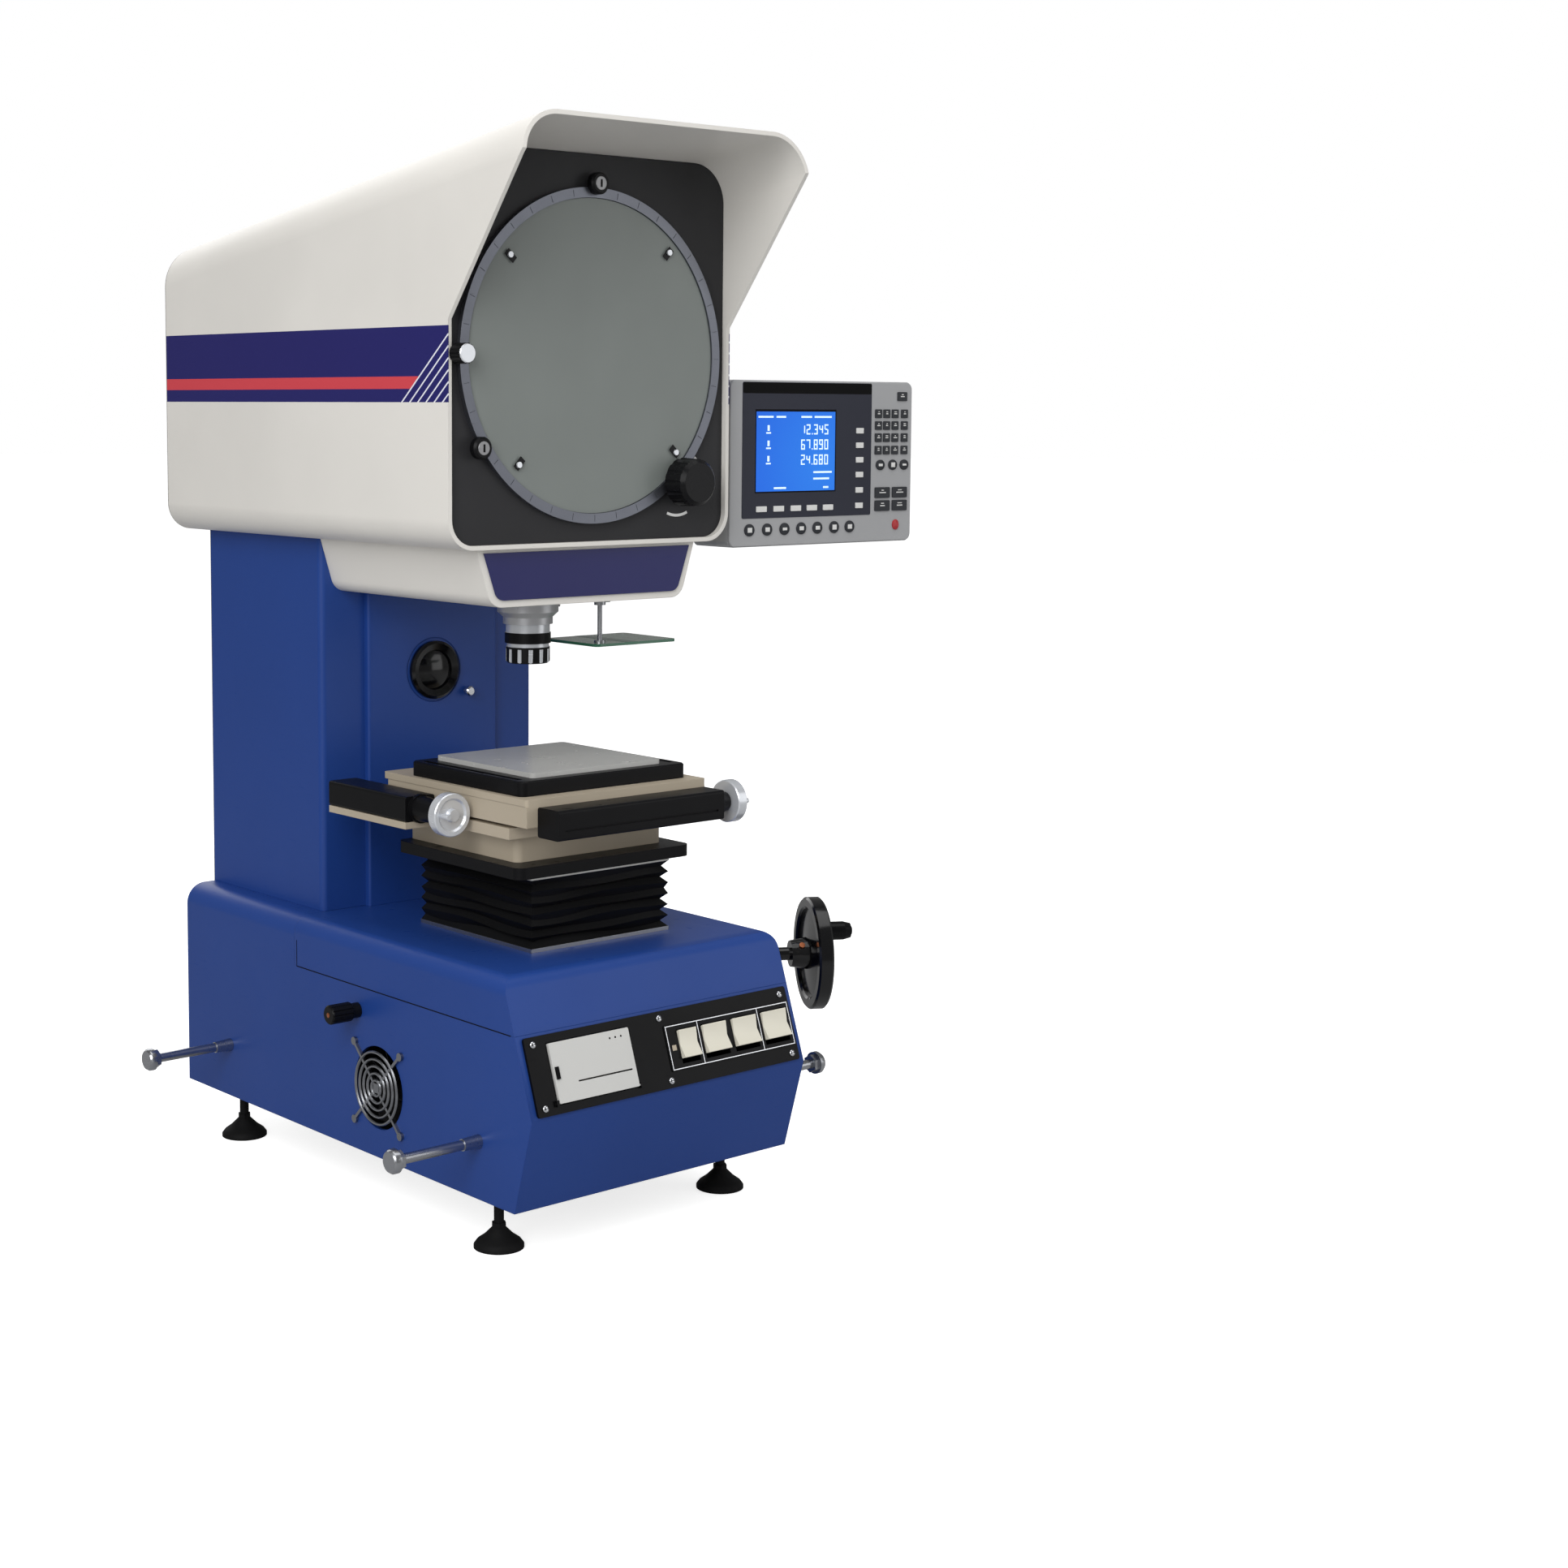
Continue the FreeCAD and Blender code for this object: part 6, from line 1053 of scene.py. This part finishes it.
def dress_rollers():
    """A grey cap on each roller, with a black bar across it as the painted shade of a driver slot."""
    for node in ("ring_roller_top", "ring_roller_left"):
        x, y, z = node_front(node)
        cap = Shape().use("lamp_metal")
        cap.lathe([(0, -0.2), (6.6, -0.2), (6.8, 0.2), (6.4, 0.6), (0, 0.7)], (x, y, z), OUTWARD, 40)
        # painted shade: a black bar for the driver slot
        cap.use("shadow_black")
        cap.block((x - 1.1, y - 0.9, z - 3.8), (x + 1.1, y - 0.6, z + 3.8))
        cap.piece(node + "_cap", node, "lamp_metal", outward=True)


def dress_drive_knob():
    """Two white arcs on the screen panel that show which way the drive knob turns."""
    knob = node_front("ring_drive_knob")
    arcs = Shape().use("white_print")
    for start, end in ((8, 46), (-112, -66)):
        rims = (36.0, range(start, end + 1, 2)), (33.2, range(end, start - 1, -2))
        outline = [(radius * math.cos(math.radians(angle)), radius * math.sin(math.radians(angle)))
                   for radius, angles in rims for angle in angles]
        arcs.slab(outline, (knob.x, SCREEN_PANEL_FACE - 0.05, knob.z), (1, 0, 0), (0, 0, 1), 0.2)
    arcs.piece("drive_knob_arcs", "frame", "white_enamel")


def dress_seam():
    """The shadow line where the deck cover meets the base."""
    low, high = node_box("base_deck")
    half = (high.x - low.x) / 2
    seam = Shape().use("shadow_black")
    for left in (-half - 0.15, half - 0.3):
        seam.block((left, low.y + 6.0, SEAM - 0.55), (left + 0.45, high.y - 4.0, SEAM + 0.55))
    seam.block((low.x - 0.15, high.y - 5.0, SEAM), (low.x + 0.3, high.y - 4.0, SEAM + 28.0))
    seam.piece("deck_seam", "frame", "blue_enamel")


def dress_dimmer():
    """Brass insert in the end of the lamp brightness knob."""
    low, high = node_box("dimmer_knob")
    middle = (low.x, (low.y + high.y) / 2, (low.z + high.z) / 2)
    insert = Shape().use("copper")
    insert.lathe([(0, -0.2), (2.6, -0.2), (2.6, 0.3), (2.2, 0.6), (0, 0.6)], middle, (-1, 0, 0), 32)
    insert.piece("dimmer_insert", "dimmer_knob", "steel", outward=True)


dress_half_mirror()
dress_rollers()
dress_drive_knob()
dress_seam()
dress_dimmer()


# Floor, light and camera

def seen_straight(graph, path):
    """1 for what the camera sees, through clear glass too."""
    return graph.math("MAXIMUM", path["Is Camera Ray"], path["Is Transmission Ray"])


def stage_floor():
    """A wide pale floor that looks white straight on and keeps a soft shadow."""
    material = bpy.data.materials.new("pale_floor")
    graph = empty_graph(material)
    seen = seen_straight(graph, graph.node("ShaderNodeLightPath").outputs)
    matt = graph.node("ShaderNodeBsdfDiffuse", Color=srgb(236, 236, 236)).outputs[0]
    glow = graph.node("ShaderNodeEmission", Color=(1.0, 1.0, 1.0, 1.0), Strength=FLOOR_GLOW).outputs[0]
    both = graph.node("ShaderNodeAddShader", in_0=matt, in_1=glow).outputs[0]
    dim = graph.node("ShaderNodeBsdfDiffuse", Color=srgb(176, 176, 176)).outputs[0]
    mixed = graph.node("ShaderNodeMixShader", in_0=seen, in_1=dim, in_2=both).outputs[0]
    graph.node("ShaderNodeOutputMaterial", in_0=mixed)
    disc = bmesh.new()
    bmesh.ops.create_circle(disc, cap_ends=True, segments=96, radius=FLOOR_RADIUS)
    data = mesh_of("floor", disc)
    data.materials.append(material)
    linked("floor", data)


def stage_world():
    """White to the camera, an even soft grey to the surfaces, and dimmer still in their gloss."""
    world = bpy.data.worlds.new("studio")
    graph = empty_graph(world)
    path = graph.node("ShaderNodeLightPath").outputs
    seen = seen_straight(graph, path)
    mirrored = graph.math("MULTIPLY", path["Is Glossy Ray"], WORLD_SHEEN - WORLD_LIGHT)
    lighting = graph.math("ADD", mirrored, WORLD_LIGHT)
    strength = graph.math("ADD", graph.math("MULTIPLY", seen, 1.0 - WORLD_LIGHT), lighting)
    back = graph.node("ShaderNodeBackground", Color=(1.0, 1.0, 1.0, 1.0), Strength=strength)
    graph.node("ShaderNodeOutputWorld", in_0=back.outputs[0])
    bpy.context.scene.world = world


def soft_box(name, place, target, width, height, power):
    """A flat studio lamp that faces target."""
    lamp = bpy.data.lights.new(name, "AREA")
    lamp.shape, lamp.size, lamp.size_y, lamp.energy = "RECTANGLE", width, height, power
    holder = linked(name, lamp)
    holder.location = place
    holder.rotation_mode = "QUATERNION"
    holder.rotation_quaternion = (Vector(target) - Vector(place)).to_track_quat("-Z", "Y")


FLOOR_RADIUS = 40.0
FLOOR_GLOW = 0.74
WORLD_LIGHT = 0.42
WORLD_SHEEN = 0.2
stage_floor()
stage_world()
MIDDLE = (cad_low + cad_high) / 2
soft_box("key_light", MIDDLE + Vector((-2.4, -1.6, 1.3)), MIDDLE, 1.6, 2.2, 54.0)
soft_box("fill_light", MIDDLE + Vector((1.9, -2.5, 0.6)), MIDDLE, 1.6, 2.0, 12.0)
soft_box("top_light", MIDDLE + Vector((0.1, -0.4, 2.5)), MIDDLE, 2.4, 2.4, 30.0)
soft_box("back_light", MIDDLE + Vector((0.6, 2.6, 1.2)), MIDDLE, 2.0, 2.0, 20.0)


def view_camera(place, azimuth, elevation, roll, focal_px, centre_px):
    """A camera from its place, its look in degrees and its focal length and axis in picture pixels."""
    camera = bpy.data.cameras.new("view")
    camera.sensor_width = SENSOR
    camera.lens = focal_px / PICTURE * SENSOR
    camera.shift_x = (PICTURE / 2 - centre_px[0]) / PICTURE
    camera.shift_y = (centre_px[1] - PICTURE / 2) / PICTURE
    camera.clip_start, camera.clip_end = 0.05, 100.0
    holder = linked("view", camera)
    turn, tilt, lean = (math.radians(angle) for angle in (azimuth, elevation, roll))
    forward = Vector((-math.sin(turn) * math.cos(tilt), math.cos(turn) * math.cos(tilt), -math.sin(tilt)))
    right = Vector((math.cos(turn), math.sin(turn), 0))
    up = right.cross(forward)
    right_leant = right * math.cos(lean) + up * math.sin(lean)
    up_leant = up * math.cos(lean) - right * math.sin(lean)
    axes = Matrix((right_leant, up_leant, -forward)).transposed()
    holder.matrix_world = Matrix.Translation(place) @ axes.to_4x4()
    bpy.context.scene.camera = holder


# The view of the photograph, in its own pixels
PICTURE = 1932.0
SENSOR = 36.0
view_camera(place=(-1.64048, -2.10531, 0.81936), azimuth=-40.107, elevation=5.627, roll=0.288,
            focal_px=3001.9, centre_px=(783.0, 800.0))
bpy.context.scene.view_settings.view_transform = "Standard"
